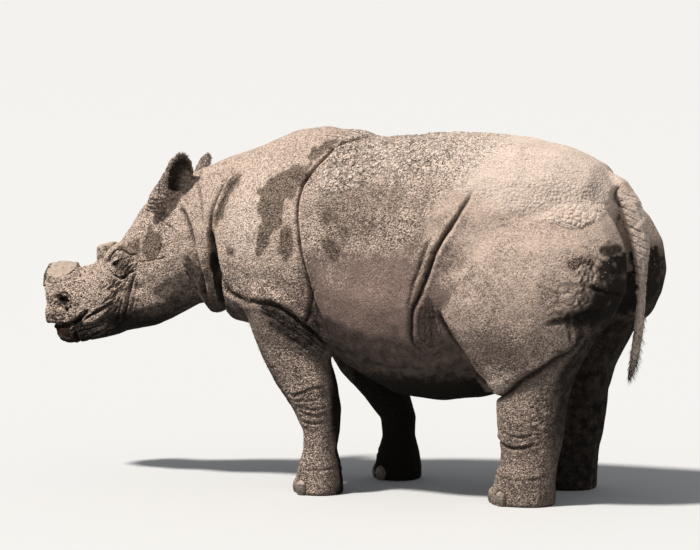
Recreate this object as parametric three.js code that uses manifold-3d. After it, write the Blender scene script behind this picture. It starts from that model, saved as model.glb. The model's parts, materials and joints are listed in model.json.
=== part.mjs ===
// A Sumatran rhinoceros, standing, at life size: a still model in closed solids.
//
// Millimetres, +Z up. The animal faces -X, its left side is towards -Y, and it stands on z = 0.
// The lengths below are those of an animal DRAWN_HEIGHT tall at the withers, and all of them
// are multiplied by SHOULDER_HEIGHT / DRAWN_HEIGHT. A place in the side view is written [x, z].

import * as THREE from "three";
import { mergeVertices } from "three/addons/utils/BufferGeometryUtils.js";
import Module from "manifold-3d";

const wasm = await Module();
wasm.setup();

// Driving dimensions.
const SHOULDER_HEIGHT = 1300; // ground to the top of the withers
const DRAWN_HEIGHT = 1300;
const GAP = 0.8; // between neighbouring pieces
const FIT = 0.5; // round the eyes and toenails, which sit in the flesh
const NOSTRIL_DEPTH = 26;
const EYE_RADIUS = 16;

const LEFT = -1;
const RIGHT = 1;
const SIDES = { left: LEFT, right: RIGHT };

// ---------------------------------------------------------------------------------- solids

// A geometry as a manifold-3d solid.
function solid(geometry) {
  const bare = new THREE.BufferGeometry();
  bare.setAttribute("position", geometry.getAttribute("position"));
  if (geometry.index) bare.setIndex(geometry.index);
  const merged = mergeVertices(bare, 1e-3);
  return new wasm.Manifold(
    new wasm.Mesh({
      numProp: 3,
      vertProperties: merged.getAttribute("position").array,
      triVerts: new Uint32Array(merged.index.array),
    }),
  );
}

function joined(solids) {
  return solids.reduce((whole, piece) => whole.add(piece));
}

// A solid as a three.js geometry.
function geometryOf(piece) {
  const { numProp, vertProperties, triVerts } = piece.getMesh();
  const places = new Float32Array((vertProperties.length / numProp) * 3);
  for (let i = 0; i < places.length / 3; i++) {
    places.set(vertProperties.subarray(i * numProp, i * numProp + 3), i * 3);
  }
  const geometry = new THREE.BufferGeometry();
  geometry.setAttribute("position", new THREE.BufferAttribute(places, 3));
  geometry.setIndex(new THREE.BufferAttribute(new Uint32Array(triVerts), 1));
  return geometry;
}

// A ball stretched to three radii, turned about Y by `tilt` degrees, at `centre`.
function ellipsoid(centre, radii, tilt, around, down) {
  const geometry = new THREE.SphereGeometry(1, around, down);
  geometry.rotateX(Math.PI / 2);
  geometry.scale(...radii);
  geometry.rotateY(THREE.MathUtils.degToRad(tilt));
  geometry.translate(...centre);
  return solid(geometry);
}

// ----------------------------------------------------------------------------------- lofts

// One cross-section: an oval that reaches from `bottom` to `top` in the side view and `half` to
// each side of y. It is widest at that share of its height; above and below are the exponents of
// the two half ovals: 2 is round, more is fuller, less is leaner.
function station(top, bottom, half, shape = {}) {
  return { top, bottom, half, y: 0, widest: 0.5, above: 2, below: 2, ...shape };
}

function middle({ top, bottom, y }) {
  return new THREE.Vector3((top[0] + bottom[0]) / 2, y, (top[1] + bottom[1]) / 2);
}

// A ring of points round a station, grown by `swell` all round.
function ring({ top, bottom, y, half, widest, above, below }, segments, swell) {
  const height = Math.hypot(top[0] - bottom[0], top[1] - bottom[1]);
  const up = [(top[0] - bottom[0]) / height, (top[1] - bottom[1]) / height];
  const level = widest * height;
  return Array.from({ length: segments }, (_, i) => {
    const angle = (2 * Math.PI * i) / segments;
    const [c, n] = [Math.cos(angle), Math.sin(angle)];
    const power = 2 / (c > 0 ? above : below);
    const reach = c > 0 ? height - level + swell : level + swell;
    const rise = level + Math.sign(c) * reach * Math.abs(c) ** power;
    const out = (half + swell) * Math.sign(n) * Math.abs(n) ** power;
    return new THREE.Vector3(bottom[0] + up[0] * rise, y + out, bottom[1] + up[1] * rise);
  });
}

// Two smaller rings that round off an end of a loft, and its tip.
function roundedEnd(loop, centre, inner, bulge) {
  const outward = centre.clone().sub(inner).setLength(bulge);
  const rings = [30, 60].map((degrees) => {
    const turn = THREE.MathUtils.degToRad(degrees);
    const inwards = loop.map((p) => p.clone().lerp(centre, 1 - Math.cos(turn)));
    return inwards.map((p) => p.addScaledVector(outward, Math.sin(turn)));
  });
  return { rings: bulge > 0 ? rings : [], tip: centre.clone().add(outward) };
}

// The closed solid through the stations. `ends` says how far each end bulges; 0 leaves it flat.
function loft(stations, { segments, ends = [0, 0], swell = 0 }) {
  const loops = stations.map((section) => ring(section, segments, swell));
  const middles = stations.map(middle);
  const bulges = ends.map((bulge) => (bulge > 0 ? bulge + swell : 0));
  const start = roundedEnd(loops[0], middles[0], middles[1], bulges[0]);
  const finish = roundedEnd(loops.at(-1), middles.at(-1), middles.at(-2), bulges[1]);
  const all = [...start.rings.reverse(), ...loops, ...finish.rings];
  const points = [...all.flat(), start.tip, finish.tip];
  const faces = [];
  for (let i = 0; i < segments; i++) {
    const next = (i + 1) % segments;
    const last = (all.length - 1) * segments;
    for (let base = 0; base < last; base += segments) {
      faces.push(base + i, base + next, base + segments + i);
      faces.push(base + next, base + segments + next, base + segments + i);
    }
    faces.push(next, i, points.length - 2, last + i, last + next, points.length - 1);
  }
  return solid(new THREE.BufferGeometry().setFromPoints(points).setIndex(faces));
}

// --------------------------------------------------------------------------------- parting

const FRONT = [-1, 0];
const DOWN = [0, -1];
const FAR = 2500;

// All that lies on one side of a line of the side view, from y = `from` to y = `to`, and a
// little more all round: `more`.
function beyond(line, [dx, dz], from, to, more = 0) {
  const points = line.map(([x, z]) => new THREE.Vector2(x, z));
  const stretched = (end, inner) => end.clone().add(end.clone().sub(inner).setLength(more));
  const start = stretched(points[0], points[1]);
  const finish = stretched(points.at(-1), points.at(-2));
  const edge = [start, ...points.slice(1, -1), finish];
  const way = new THREE.Vector2(dx, dz);
  const near = edge.map((p) => p.clone().addScaledVector(way, -more));
  const far = edge.map((p) => p.clone().addScaledVector(way, FAR)).reverse();
  const geometry = new THREE.ExtrudeGeometry(new THREE.Shape([...near, ...far]), {
    depth: to - from + 2 * more,
    bevelEnabled: false,
  });
  geometry.rotateX(Math.PI / 2);
  geometry.translate(0, to + more, 0);
  return solid(geometry);
}

// A solid parted along a line: [what lies in that direction from it, the rest].
function parted(whole, line, direction, from = -FAR, to = FAR) {
  const inside = beyond(line, direction, from, to);
  return [whole.intersect(inside), whole.subtract(beyond(line, direction, from, to, GAP))];
}

// A smooth line through a few places of the side view.
function curved(places, count = 6) {
  const curve = new THREE.SplineCurve(places.map(([x, z]) => new THREE.Vector2(x, z)));
  return curve.getPoints(count).map((p) => [p.x, p.y]);
}

// The same, carried on straight above and below the animal.
function fold(places) {
  const line = curved(places);
  return [[line[0][0], FAR], ...line, [line.at(-1)[0], -FAR]];
}

// ----------------------------------------------------------------------- body, neck and head

const BODY = [
  station([1100, 1112], [1036, 640], 190, { widest: 0.62, below: 1.7 }), // rump
  station([1044, 1182], [962, 520], 268, { widest: 0.6, above: 2.2, below: 1.7 }), // croup
  station([930, 1236], [870, 432], 322, { widest: 0.58, above: 2.2, below: 1.8 }), // hips
  station([790, 1266], [752, 378], 356, { widest: 0.54, above: 2.2 }), // sacrum
  station([640, 1283], [610, 340], 376, { widest: 0.48, above: 2.2, below: 2.1 }), // loin
  station([480, 1280], [470, 322], 396, { widest: 0.46, above: 2.25, below: 2.1 }), // belly
  station([330, 1267], [330, 338], 398, { widest: 0.46, above: 2.25, below: 2.1 }), // ribs
  station([228, 1261], [212, 394], 384, { widest: 0.46, above: 2.2, below: 2.1 }), // girth
  station([140, 1281], [92, 466], 370, { widest: 0.46, above: 2.05, below: 2.3 }), // elbows
  station([20, 1299], [-30, 514], 350, { widest: 0.46, above: 1.95, below: 2.5 }), // withers
  station([-90, 1284], [-150, 545], 328, { widest: 0.46, above: 1.9, below: 2.5 }), // shoulders
  station([-180, 1246], [-250, 578], 294, { widest: 0.46, above: 1.9, below: 2.3 }), // collar
  station([-235, 1222], [-318, 585], 262, { widest: 0.46, above: 1.9 }), // breast
  station([-278, 1207], [-362, 628], 228, { widest: 0.47 }), // rear neck fold
  station([-332, 1190], [-406, 604], 232, { widest: 0.46 }), // neck roll
  station([-385, 1168], [-442, 648], 204, { widest: 0.46 }), // front neck fold
  station([-455, 1142], [-482, 640], 194, { widest: 0.46 }), // nape
  station([-546, 1104], [-532, 614], 178, { widest: 0.45 }), // poll
  station([-622, 1064], [-588, 582], 164, { widest: 0.45 }), // ears
  station([-686, 1002], [-650, 556], 152, { widest: 0.46, above: 2.1 }), // crown
  station([-732, 928], [-708, 543], 145, { widest: 0.5, above: 2.2 }), // forehead
  station([-778, 862], [-766, 530], 136, { widest: 0.56, above: 2.3, below: 1.9 }), // eyes
  station([-836, 816], [-815, 514], 120, { widest: 0.54, above: 2.3, below: 1.9 }), // cheeks
  station([-886, 784], [-862, 502], 108, { widest: 0.5, above: 2.2, below: 2 }), // bridge
  station([-936, 762], [-908, 492], 100, { widest: 0.48, above: 2.2, below: 2.1 }), // nose
  station([-986, 750], [-955, 484], 97, { widest: 0.5, above: 2.3, below: 2.1 }), // nostrils
  station([-1034, 744], [-1006, 488], 88, { widest: 0.52, above: 2.5, below: 2 }), // muzzle
  station([-1074, 730], [-1046, 548], 68, { widest: 0.56, above: 2.4 }), // lip
];

// Forms that stand out from the head's sections: [centre, radii, tilt]. A form that isn't on the
// middle plane is on both sides.
const HEAD_FORMS = [
  [[-784, 74, 816], [62, 44, 30], -50], // brow
  [[-722, 84, 748], [112, 62, 46], -28], // cheekbone
  [[-660, 76, 676], [134, 76, 96], -18], // jowl
  [[-1004, 46, 662], [70, 54, 60], 0], // nostril wing
  [[-1030, 0, 590], [66, 84, 66], 0], // upper lip
  [[-1002, 0, 514], [50, 46, 38], 20], // lip tip
];

function headForms(swell) {
  return HEAD_FORMS.flatMap(([[x, y, z], radii, tilt]) => {
    const sides = y === 0 ? [0] : Object.values(SIDES);
    const grown = radii.map((radius) => radius + swell);
    return sides.map((side) => ellipsoid([x, side * y, z], grown, tilt, 12, 6));
  });
}

const NOSTRIL = [-1000, 652];
const NOSTRIL_OUT = 96;

function nostril(side) {
  const place = [NOSTRIL[0], side * NOSTRIL_OUT, NOSTRIL[1]];
  return ellipsoid(place, [15, NOSTRIL_DEPTH, 10], 30, 8, 5);
}

const EYE = [-757, 794];
const EYE_OUT = 113; // from the middle plane to the middle of the eyeball

function eyeball(side, radius = EYE_RADIUS) {
  return ellipsoid([EYE[0], side * EYE_OUT, EYE[1]], [radius, radius, radius], 0, 10, 7);
}

// Where the body is parted: along its folds, and along the mouth.
const FRONT_NECK_FOLD = fold([[-300, 1300], [-355, 1140], [-424, 900], [-418, 760], [-446, 600]]);
const REAR_NECK_FOLD = fold([[-190, 1300], [-250, 1180], [-348, 940], [-336, 760], [-370, 600]]);
const SHOULDER_FOLD = fold([
  [280, 1320], [64, 1122], [24, 960], [66, 750], [118, 580], [170, 400],
]);
const FLANK_FOLD = fold([
  [740, 1320], [690, 1090], [576, 911], [503, 718], [470, 560], [480, 300],
]);
const MOUTH = curved([
  [-985, 440], [-968, 508], [-920, 574], [-862, 600],
  [-780, 596], [-700, 570], [-640, 500],
]);

// ------------------------------------------------------------------------------------ legs

// How far each foot stands behind the place drawn in the stations below.
const FORE_SHIFT = { left: 0, right: 146 };
const HIND_SHIFT = { left: 0, right: 30 };
const FORE_STANCE = 218; // from the middle plane to the middle of a foot
const HIND_STANCE = 212;
const LEG_INSIDE = 96; // the legs lie further out than this where they leave the body

// [front, back, half width, share of the foot's shift]
const FORELEG = [
  [[-120, 850], [20, 860], 70, 0], // shoulder blade
  [[-186, 770], [62, 770], 108, 0], // point of the shoulder
  [[-206, 672], [100, 660], 126, 0.1],
  [[-180, 586], [114, 560], 127, 0.32], // elbow
  [[-142, 490], [108, 474], 112, 0.52],
  [[-88, 388], [136, 384], 98, 0.6], // forearm
  [[-22, 300], [149, 300], 82, 0.76], // wrist
  [[16, 222], [144, 222], 70, 0.95],
  [[16, 160], [132, 160], 68, 1],
  [[-4, 96], [148, 96], 78, 1],
  [[-16, 40], [156, 40], 88, 1], // foot
  [[-14, 0], [155, 0], 88, 1],
];

// [front, back, middle of its width, half width]
const THIGH = [
  [[690, 1080], [1064, 1066], 152, 104], // hip
  [[584, 1000], [1142, 990], 174, 156],
  [[510, 900], [1188, 898], 194, 188],
  [[462, 790], [1200, 800], 210, 200], // buttock
  [[460, 700], [1180, 715], 220, 192],
  [[520, 620], [1140, 640], 228, 174], // stifle
  [[592, 550], [1086, 590], 234, 152],
  [[664, 478], [1014, 540], 238, 128],
  [[722, 420], [900, 480], 242, 98], // lowest point of the hem
];

const SHANK = [
  [[800, 700], [1120, 720], 205, 120],
  [[770, 560], [1086, 590], 210, 122],
  [[750, 440], [1014, 455], 212, 114],
  [[738, 350], [984, 360], 212, 105], // hock
  [[738, 280], [978, 280], 212, 100],
  [[752, 210], [966, 205], 212, 93],
  [[750, 150], [952, 150], 212, 90], // ankle
  [[730, 90], [944, 90], 212, 95],
  [[712, 36], [944, 36], 212, 100], // foot
  [[714, 0], [942, 0], 212, 100],
];

function foreleg(word, swell) {
  const shift = FORE_SHIFT[word];
  const stations = FORELEG.map(([[fx, fz], [bx, bz], half, share]) =>
    station([fx + shift * share, fz], [bx + shift * share, bz], half, {
      y: SIDES[word] * FORE_STANCE,
      above: 2.2,
      below: 2.2,
    }),
  );
  return loft(stations, { segments: 14, ends: [30, 0], swell });
}

function hindleg(rows, word, ends, swell) {
  const shift = HIND_SHIFT[word];
  const stations = rows.map(([[fx, fz], [bx, bz], y, half]) =>
    station([fx + shift, fz], [bx + shift, bz], half, {
      y: SIDES[word] * y,
      above: 2.3,
      below: 2.3,
    }),
  );
  return loft(stations, { segments: 14, ends, swell });
}

// Where the legs leave the body, which way they go on from there, and where the feet begin.
const ELBOW_LINE = {
  left: [[-260, 560], [-120, 530], [20, 500], [110, 460], [156, 430]],
  right: [[-250, 560], [-120, 530], [20, 500], [110, 450], [210, 388]],
};
const HEM_LINE = {
  left: [[700, 372], [752, 392], [790, 406], [896, 492], [1003, 561], [1250, 720]],
  right: [[720, 376], [782, 396], [820, 412], [926, 498], [1033, 567], [1280, 726]],
};
const FORELEG_WAY = { left: [0.15, -1], right: [0.5, -1] };
const HINDLEG_WAY = { left: [-0.1, -1], right: [-0.1, -1] };
const WRIST_LINE = [[-300, 196], [600, 196]];
const HOCK_LINE = [[500, 230], [1300, 170]];

// Three toenails round the front of a foot: [name, degrees from straight ahead, half width].
const TOES = [
  ["inner", -60, 26],
  ["middle", 0, 33],
  ["outer", 60, 26],
];
const NAIL_HEIGHT = 56;
const NAIL_THICK = 17;
const NAIL_SUNK = 3; // the nails' middles lie this far inside the rim

// A nail on the rim of an oval foot: the foot's middle, its half length and half width.
function toenail([x, y], [long, wide], degrees, half, swell) {
  const turn = THREE.MathUtils.degToRad(degrees);
  const ahead = (long - NAIL_SUNK) * Math.cos(turn);
  const aside = (wide - NAIL_SUNK) * Math.sin(turn);
  const geometry = new THREE.SphereGeometry(1, 8, 4);
  geometry.scale(NAIL_THICK + swell, half + swell, NAIL_HEIGHT * 0.6 + swell);
  geometry.rotateZ(turn);
  geometry.translate(x - ahead, y - aside, NAIL_HEIGHT * 0.4);
  const floor = [[-FAR, -swell], [FAR, -swell]];
  return solid(geometry).subtract(beyond(floor, DOWN, -FAR, FAR));
}

function nails(word, stance, middleX, size, swell) {
  const side = SIDES[word];
  return TOES.map(([, degrees, half]) =>
    toenail([middleX, side * stance], size, side * degrees, half, swell),
  );
}

// ------------------------------------------------------------------------- tail, ears, horns

// [front, back, half width]
const TAIL = [
  [[1020, 1100], [1070, 1160], 28], // root, inside the rump
  [[1066, 1070], [1134, 1124], 40],
  [[1100, 1024], [1185, 1060], 41],
  [[1128, 958], [1215, 973], 38],
  [[1158, 880], [1222, 884], 32],
  [[1170, 790], [1213, 790], 27],
  [[1174, 702], [1207, 700], 22],
  [[1166, 600], [1199, 596], 18],
  [[1154, 506], [1182, 500], 13],
  [[1146, 446], [1162, 442], 8],
];

function tail() {
  const stations = TAIL.map(([front, back, half]) => station(front, back, half));
  return loft(stations, { segments: 8, ends: [10, 26] });
}

// An ear stands on its foot along +Z and opens towards -Y: [share of its length, half width,
// half depth, how far its foot spreads forwards].
const EAR_LENGTH = 218;
const EAR_WALL = 9;
const EAR_PUSH = 26; // the hollow is this much nearer the opening
const EAR_FORM = [
  [0, 34, 32, 76],
  [0.26, 43, 38, 62],
  [0.48, 53, 37, 24],
  [0.7, 55, 34, 0],
  [0.87, 42, 26, 0],
  [0.97, 23, 15, 0],
];
// Degrees that each ear leans outwards and backwards, and turns its opening back.
const EAR_TURN = {
  left: { out: 14, back: 14, face: 42 },
  right: { out: 32, back: 1, face: 66 },
};
const EAR_FOOT = [-536, 98, 988];

function earShell(shrink, push, rows) {
  const stations = rows.map(([share, half, deep, spread]) => {
    const [reach, level] = [half - shrink, share * EAR_LENGTH];
    return station([reach, level], [-reach - spread, level], deep - shrink, { y: push });
  });
  return loft(stations, { segments: 12, ends: [shrink * 2, 8 - shrink / 3] });
}

function ear(word) {
  const { out, back, face } = EAR_TURN[word];
  const hollowed = EAR_FORM.slice(2).map(([share, half, deep]) => [share, half, deep, 0]);
  const hollow = earShell(EAR_WALL, -EAR_PUSH, hollowed);
  const geometry = geometryOf(earShell(0, 0, EAR_FORM).subtract(hollow));
  geometry.rotateZ(THREE.MathUtils.degToRad(face));
  geometry.rotateX(THREE.MathUtils.degToRad(out));
  geometry.rotateY(THREE.MathUtils.degToRad(back));
  geometry.translate(EAR_FOOT[0], -EAR_FOOT[1], EAR_FOOT[2]);
  return SIDES[word] === LEFT ? solid(geometry) : solid(geometry).mirror([0, 1, 0]);
}

const WORN_AT = 0.66; // share of the height at which a horn is worn off

// A worn horn: a low stump that flares into the skin. Its axis leans forward by `lean` degrees,
// and a flat worn face cuts off its crown, tipped towards the left by `worn` degrees.
function horn({ foot, long, wide, tall, lean, worn }) {
  const profile = [
    [0, -40], [1.14, -40], [1.08, 0],
    [0.98, 0.4 * tall], [0.8, 0.8 * tall], [0, tall],
  ];
  const stump = new THREE.LatheGeometry(profile.map(([r, h]) => new THREE.Vector2(r, h)), 12);
  stump.rotateX(Math.PI / 2);
  stump.scale(long, wide, 1);
  const above = new THREE.BoxGeometry(400, 400, 200);
  above.translate(0, 0, 100 + tall * WORN_AT);
  above.rotateX(THREE.MathUtils.degToRad(worn));
  const geometry = geometryOf(solid(stump).subtract(solid(above)));
  geometry.rotateY(THREE.MathUtils.degToRad(-lean));
  geometry.translate(foot[0], 0, foot[1]);
  return solid(geometry);
}

const FRONT_HORN = { foot: [-1026, 730], long: 72, wide: 62, tall: 54, lean: 3, worn: 36 };
const REAR_HORN = { foot: [-842, 812], long: 45, wide: 43, tall: 58, lean: 14, worn: 8 };

// -------------------------------------------------------------------------------- the animal

// All the flesh as one solid, and the same grown by `swell`.
function flesh(swell) {
  const limbs = Object.keys(SIDES).flatMap((word) => [
    foreleg(word, swell),
    hindleg(THIGH, word, [50, 24], swell),
    hindleg(SHANK, word, [30, 0], swell),
  ]);
  const trunk = loft(BODY, { segments: 22, ends: [30, 30], swell });
  return joined([trunk, ...headForms(swell), ...limbs]);
}

const MATERIALS = {
  hide: { color: 0x8d8177, roughness: 0.92, metalness: 0 },
  eye: { color: 0x1b1512, roughness: 0.12, metalness: 0 },
  horn: { color: 0xa39684, roughness: 0.8, metalness: 0 },
  nail: { color: 0x5d5247, roughness: 0.7, metalness: 0 },
};

const rhinoceros = new THREE.Group();
rhinoceros.scale.setScalar(SHOULDER_HEIGHT / DRAWN_HEIGHT);

function place(name, piece, material) {
  const mesh = new THREE.Mesh(geometryOf(piece), new THREE.MeshStandardMaterial(MATERIALS[material]));
  mesh.name = name;
  rhinoceros.add(mesh);
}

const FEET = {
  fore: (word, swell) => nails(word, FORE_STANCE, 70 + FORE_SHIFT[word], [84, 88], swell),
  hind: (word, swell) => nails(word, HIND_STANCE, 829 + HIND_SHIFT[word], [115, 100], swell),
};

const around = flesh(GAP);
let rest = flesh(0);
for (const [word, side] of Object.entries(SIDES)) {
  const sockets = [nostril(side), eyeball(side, EYE_RADIUS + FIT)];
  rest = rest.subtract(joined([...sockets, ...FEET.fore(word, FIT), ...FEET.hind(word, FIT)]));
}

for (const [word, side] of Object.entries(SIDES)) {
  const outside = side === LEFT ? [-FAR, -LEG_INSIDE] : [LEG_INSIDE, FAR];
  for (const [leg, foot, top, way, ankle] of [
    ["foreleg", "forefoot", ELBOW_LINE[word], FORELEG_WAY[word], WRIST_LINE],
    ["hindleg", "hindfoot", HEM_LINE[word], HINDLEG_WAY[word], HOCK_LINE],
  ]) {
    let limb;
    [limb, rest] = parted(rest, top, way, ...outside);
    const [lower, upper] = parted(limb, ankle, DOWN);
    place(`${leg}_${word}`, upper, "hide");
    place(`${foot}_${word}`, lower, "hide");
  }
  for (const [which, make] of Object.entries(FEET)) {
    make(word, 0).forEach((nail, i) => place(`${which}nail_${word}_${TOES[i][0]}`, nail, "nail"));
  }
  place(`eye_${word}`, eyeball(side), "eye");
  place(`ear_${word}`, ear(word).subtract(around), "hide");
}

for (const [name, rear] of Object.entries({
  head: FRONT_NECK_FOLD,
  neck: REAR_NECK_FOLD,
  shoulders: SHOULDER_FOLD,
  barrel: FLANK_FOLD,
})) {
  let piece;
  [piece, rest] = parted(rest, rear, FRONT);
  if (name === "head") {
    const [jaw, skull] = parted(piece, MOUTH, DOWN);
    place("lower_jaw", jaw, "hide");
    piece = skull;
  }
  place(name, piece, "hide");
}
place("hindquarters", rest, "hide");
place("tail", tail().subtract(around), "hide");
place("horn_front", horn(FRONT_HORN).subtract(around), "horn");
place("horn_rear", horn(REAR_HORN).subtract(around), "horn");

// The origin is on the ground, below the middle of the animal.
rhinoceros.updateMatrixWorld(true);
const middleOfAll = new THREE.Box3().setFromObject(rhinoceros, true).getCenter(new THREE.Vector3());
rhinoceros.position.x = -middleOfAll.x;

export default rhinoceros;
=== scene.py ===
"""A Sumatran rhinoceros caked in dry mud, as a still, life-size model on a pale floor.

The CAD solids give the form. Here one skin is drawn over them: their faces are smoothed, then
folds, wrinkles, lids, lips and mud are modelled into it, and its markings are kept as named
values on its vertices, which the hide's material reads.

The tables give places as (x, z) in the side view of the animal: x runs back from the top of the
withers, z runs up from the ground. Lengths in the tables are in mm, all others in metres, and
angles are in degrees. What is drawn for the left side is mirrored to the right.
"""

import json
import math

import bmesh
import bpy
import numpy as np
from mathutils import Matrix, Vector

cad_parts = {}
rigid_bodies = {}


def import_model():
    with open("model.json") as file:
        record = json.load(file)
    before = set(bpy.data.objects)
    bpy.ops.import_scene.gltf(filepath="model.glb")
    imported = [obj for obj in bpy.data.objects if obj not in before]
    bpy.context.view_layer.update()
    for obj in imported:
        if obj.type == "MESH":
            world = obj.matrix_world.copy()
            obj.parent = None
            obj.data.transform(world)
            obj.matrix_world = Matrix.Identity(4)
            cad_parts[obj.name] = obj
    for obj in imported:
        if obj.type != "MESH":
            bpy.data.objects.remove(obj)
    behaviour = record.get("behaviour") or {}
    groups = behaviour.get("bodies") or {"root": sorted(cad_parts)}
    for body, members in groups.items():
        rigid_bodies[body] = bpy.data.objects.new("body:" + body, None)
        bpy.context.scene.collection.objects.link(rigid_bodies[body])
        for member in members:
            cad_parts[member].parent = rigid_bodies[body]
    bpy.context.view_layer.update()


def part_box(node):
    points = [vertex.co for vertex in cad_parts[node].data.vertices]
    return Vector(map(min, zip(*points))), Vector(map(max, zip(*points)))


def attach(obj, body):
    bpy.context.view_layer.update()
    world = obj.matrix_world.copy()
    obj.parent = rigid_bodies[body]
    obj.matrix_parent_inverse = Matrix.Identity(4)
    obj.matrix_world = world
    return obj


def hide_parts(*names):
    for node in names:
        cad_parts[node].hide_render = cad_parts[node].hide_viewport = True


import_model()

# ------------------------------------------------------------------------------ the frame

SIDES = {"left": -1, "right": 1}
EYE = (-0.757, 0.794)  # in the side view


def centre(node):
    """The middle of a node's box."""
    low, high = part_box(node)
    return (np.array(low) + np.array(high)) / 2


WITHERS = centre("eye_left")[0] - EYE[0]  # x of the withers in the frame
FORE_SHIFT = centre("forefoot_right")[0] - centre("forefoot_left")[0]
HIND_SHIFT = centre("hindfoot_right")[0] - centre("hindfoot_left")[0]

LIMBS = [
    f"{part}_{side}" for part in ("foreleg", "forefoot", "hindleg", "hindfoot") for side in SIDES
]
FLESH = ["head", "lower_jaw", "neck", "shoulders", "barrel", "hindquarters", "tail",
         "ear_left", "ear_right", *LIMBS]

# -------------------------------------------------------------------------- plain numbers


def step(low, high, x):
    """0 below low, 1 above high, smooth between them; high may be the lower one."""
    t = np.clip((x - low) / (high - low), 0, 1)
    return t * t * (3 - 2 * t)


def bell(x, width):
    """1 at 0, and less further out on both sides."""
    return np.exp(-((x / width) ** 2))


def metres(*lengths):
    """Lengths of a table, in metres."""
    return [length / 1000 for length in lengths]


def aligned(x, z, degrees):
    """Offsets in the side view, along and across a direction that climbs by so many degrees."""
    c, s = math.cos(math.radians(degrees)), math.sin(math.radians(degrees))
    return x * c + z * s, z * c - x * s


def hashed(i, j, k, seed):
    """A number from 0 to 1 for each corner of a lattice."""
    h = i * np.uint32(374761393) + j * np.uint32(668265263) + k * np.uint32(2147483647)
    h = h + np.uint32(seed * 974634777 & 0xFFFFFFFF)
    h = (h ^ (h >> np.uint32(13))) * np.uint32(1274126177)
    h = (h ^ (h >> np.uint32(15))) * np.uint32(2246822519)
    return ((h >> np.uint32(8)) & np.uint32(0xFFFF)).astype(np.float32) / 65535


def lattice(p, size):
    """Where points lie in the cubes of a lattice: their places in a cube, and which cube."""
    q = p / size + 1000.0
    base = np.floor(q)
    return q - base, base.astype(np.int64).astype(np.uint32)


def noise(p, size, seed=0):
    """Smooth noise from -1 to 1, with lumps about `size` across."""
    f, base = lattice(p, size)
    f = (f * f * (3 - 2 * f)).astype(np.float32)
    total = np.zeros(len(p), np.float32)
    for corner in range(8):
        dx, dy, dz = corner & 1, corner >> 1 & 1, corner >> 2
        weight = (
            (f[:, 0] if dx else 1 - f[:, 0])
            * (f[:, 1] if dy else 1 - f[:, 1])
            * (f[:, 2] if dz else 1 - f[:, 2])
        )
        cell = [base[:, axis] + np.uint32(d) for axis, d in enumerate((dx, dy, dz))]
        total += weight * hashed(*cell, seed)
    return total * 2 - 1


def layered(p, size, layers=3, seed=0):
    """Noise in layers, each half as coarse and half as strong as the one before."""
    total, strength = 0, 0
    for layer in range(layers):
        total = total + noise(p, size / 2**layer, seed + layer) / 2**layer
        strength += 1 / 2**layer
    return total / strength


def cells(p, size, seed=0):
    """For points strewn in space: the distances to the nearest and to the second nearest, over
    size, and a number from 0 to 1 that goes with the nearest."""
    f, base = lattice(p, size)
    nearest = np.full(len(p), 9.0, np.float32)
    second, value = nearest.copy(), np.zeros(len(p), np.float32)
    for n in range(27):
        step_to = (n % 3 - 1, n // 3 % 3 - 1, n // 9 - 1)
        cell = [base[:, a] + np.uint32(step_to[a] & 0xFFFFFFFF) for a in range(3)]
        gap = np.zeros(len(p), np.float32)
        for axis in range(3):
            gap += (step_to[axis] + 0.1 + 0.8 * hashed(*cell, seed + axis) - f[:, axis]) ** 2
        gap = np.sqrt(gap)
        second = np.minimum(second, np.maximum(gap, nearest))
        value = np.where(gap < nearest, hashed(*cell, seed + 7), value)
        nearest = np.minimum(nearest, gap)
    return nearest, second, value


# ------------------------------------------------------------------------ lines and fields


def curved(points, count=6):
    """A smooth line through a table's points (Catmull-Rom), in metres; a third number is a
    strength, 1 if left out."""
    p = np.array([(*q, 1)[:3] for q in points]) / [1000, 1000, 1]
    p = np.vstack([2 * p[0] - p[1], p, 2 * p[-1] - p[-2]])
    out = []
    for i in range(1, len(p) - 2):
        for t in np.arange(count) / count:
            out.append(
                0.5 * (2 * p[i] + (p[i + 1] - p[i - 1]) * t
                + (2 * p[i - 1] - 5 * p[i] + 4 * p[i + 1] - p[i + 2]) * t**2
                + (3 * p[i] - p[i - 1] - 3 * p[i + 1] + p[i + 2]) * t**3)
            )
    return np.vstack([out, p[-2]])


def measure(line, x, z):
    """For each place the signed distance to a line (positive to the left of its travel), the
    share of the line's length, and the line's strength there."""
    best = np.full(len(x), 1e9)
    side, share, strength = np.ones(len(x)), np.zeros(len(x)), np.ones(len(x))
    lengths = np.hypot(*np.diff(line[:, :2], axis=0).T)
    run = np.concatenate([[0], np.cumsum(lengths)])
    for (ax, az, a), (bx, bz, b), length, start in zip(line, line[1:], lengths, run):
        ux, uz = (bx - ax) / length, (bz - az) / length
        t = np.clip((x - ax) * ux + (z - az) * uz, 0, length)
        dx, dz = x - ax - ux * t, z - az - uz * t
        distance = np.hypot(dx, dz)
        closer = distance < best
        best = np.where(closer, distance, best)
        side = np.where(closer, np.sign(ux * dz - uz * dx + 1e-12), side)
        share = np.where(closer, (start + t) / run[-1], share)
        strength = np.where(closer, a + (b - a) * t / length, strength)
    return best * side, share, strength


def inside(outline, x, z):
    """Distance to a closed outline of the side view: positive inside it."""
    line = curved([*outline, outline[0]], 3)
    distance = np.abs(measure(line, x, z)[0])
    crossings = np.zeros(len(x), int)
    for (ax, az, _), (bx, bz, _) in zip(line, line[1:]):
        between = (az > z) != (bz > z)
        crossings += between & (x < ax + (z - az) * (bx - ax) / (bz - az + 1e-12))
    return np.where(crossings % 2 == 1, distance, -distance)


def nearby(points, margin, x, z):
    """Which places lie in the box around the points, widened by a margin."""
    low, high = np.min(points, axis=0) - margin, np.max(points, axis=0) + margin
    return np.nonzero((x > low[0]) & (x < high[0]) & (z > low[1]) & (z < high[1]))[0]


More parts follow.
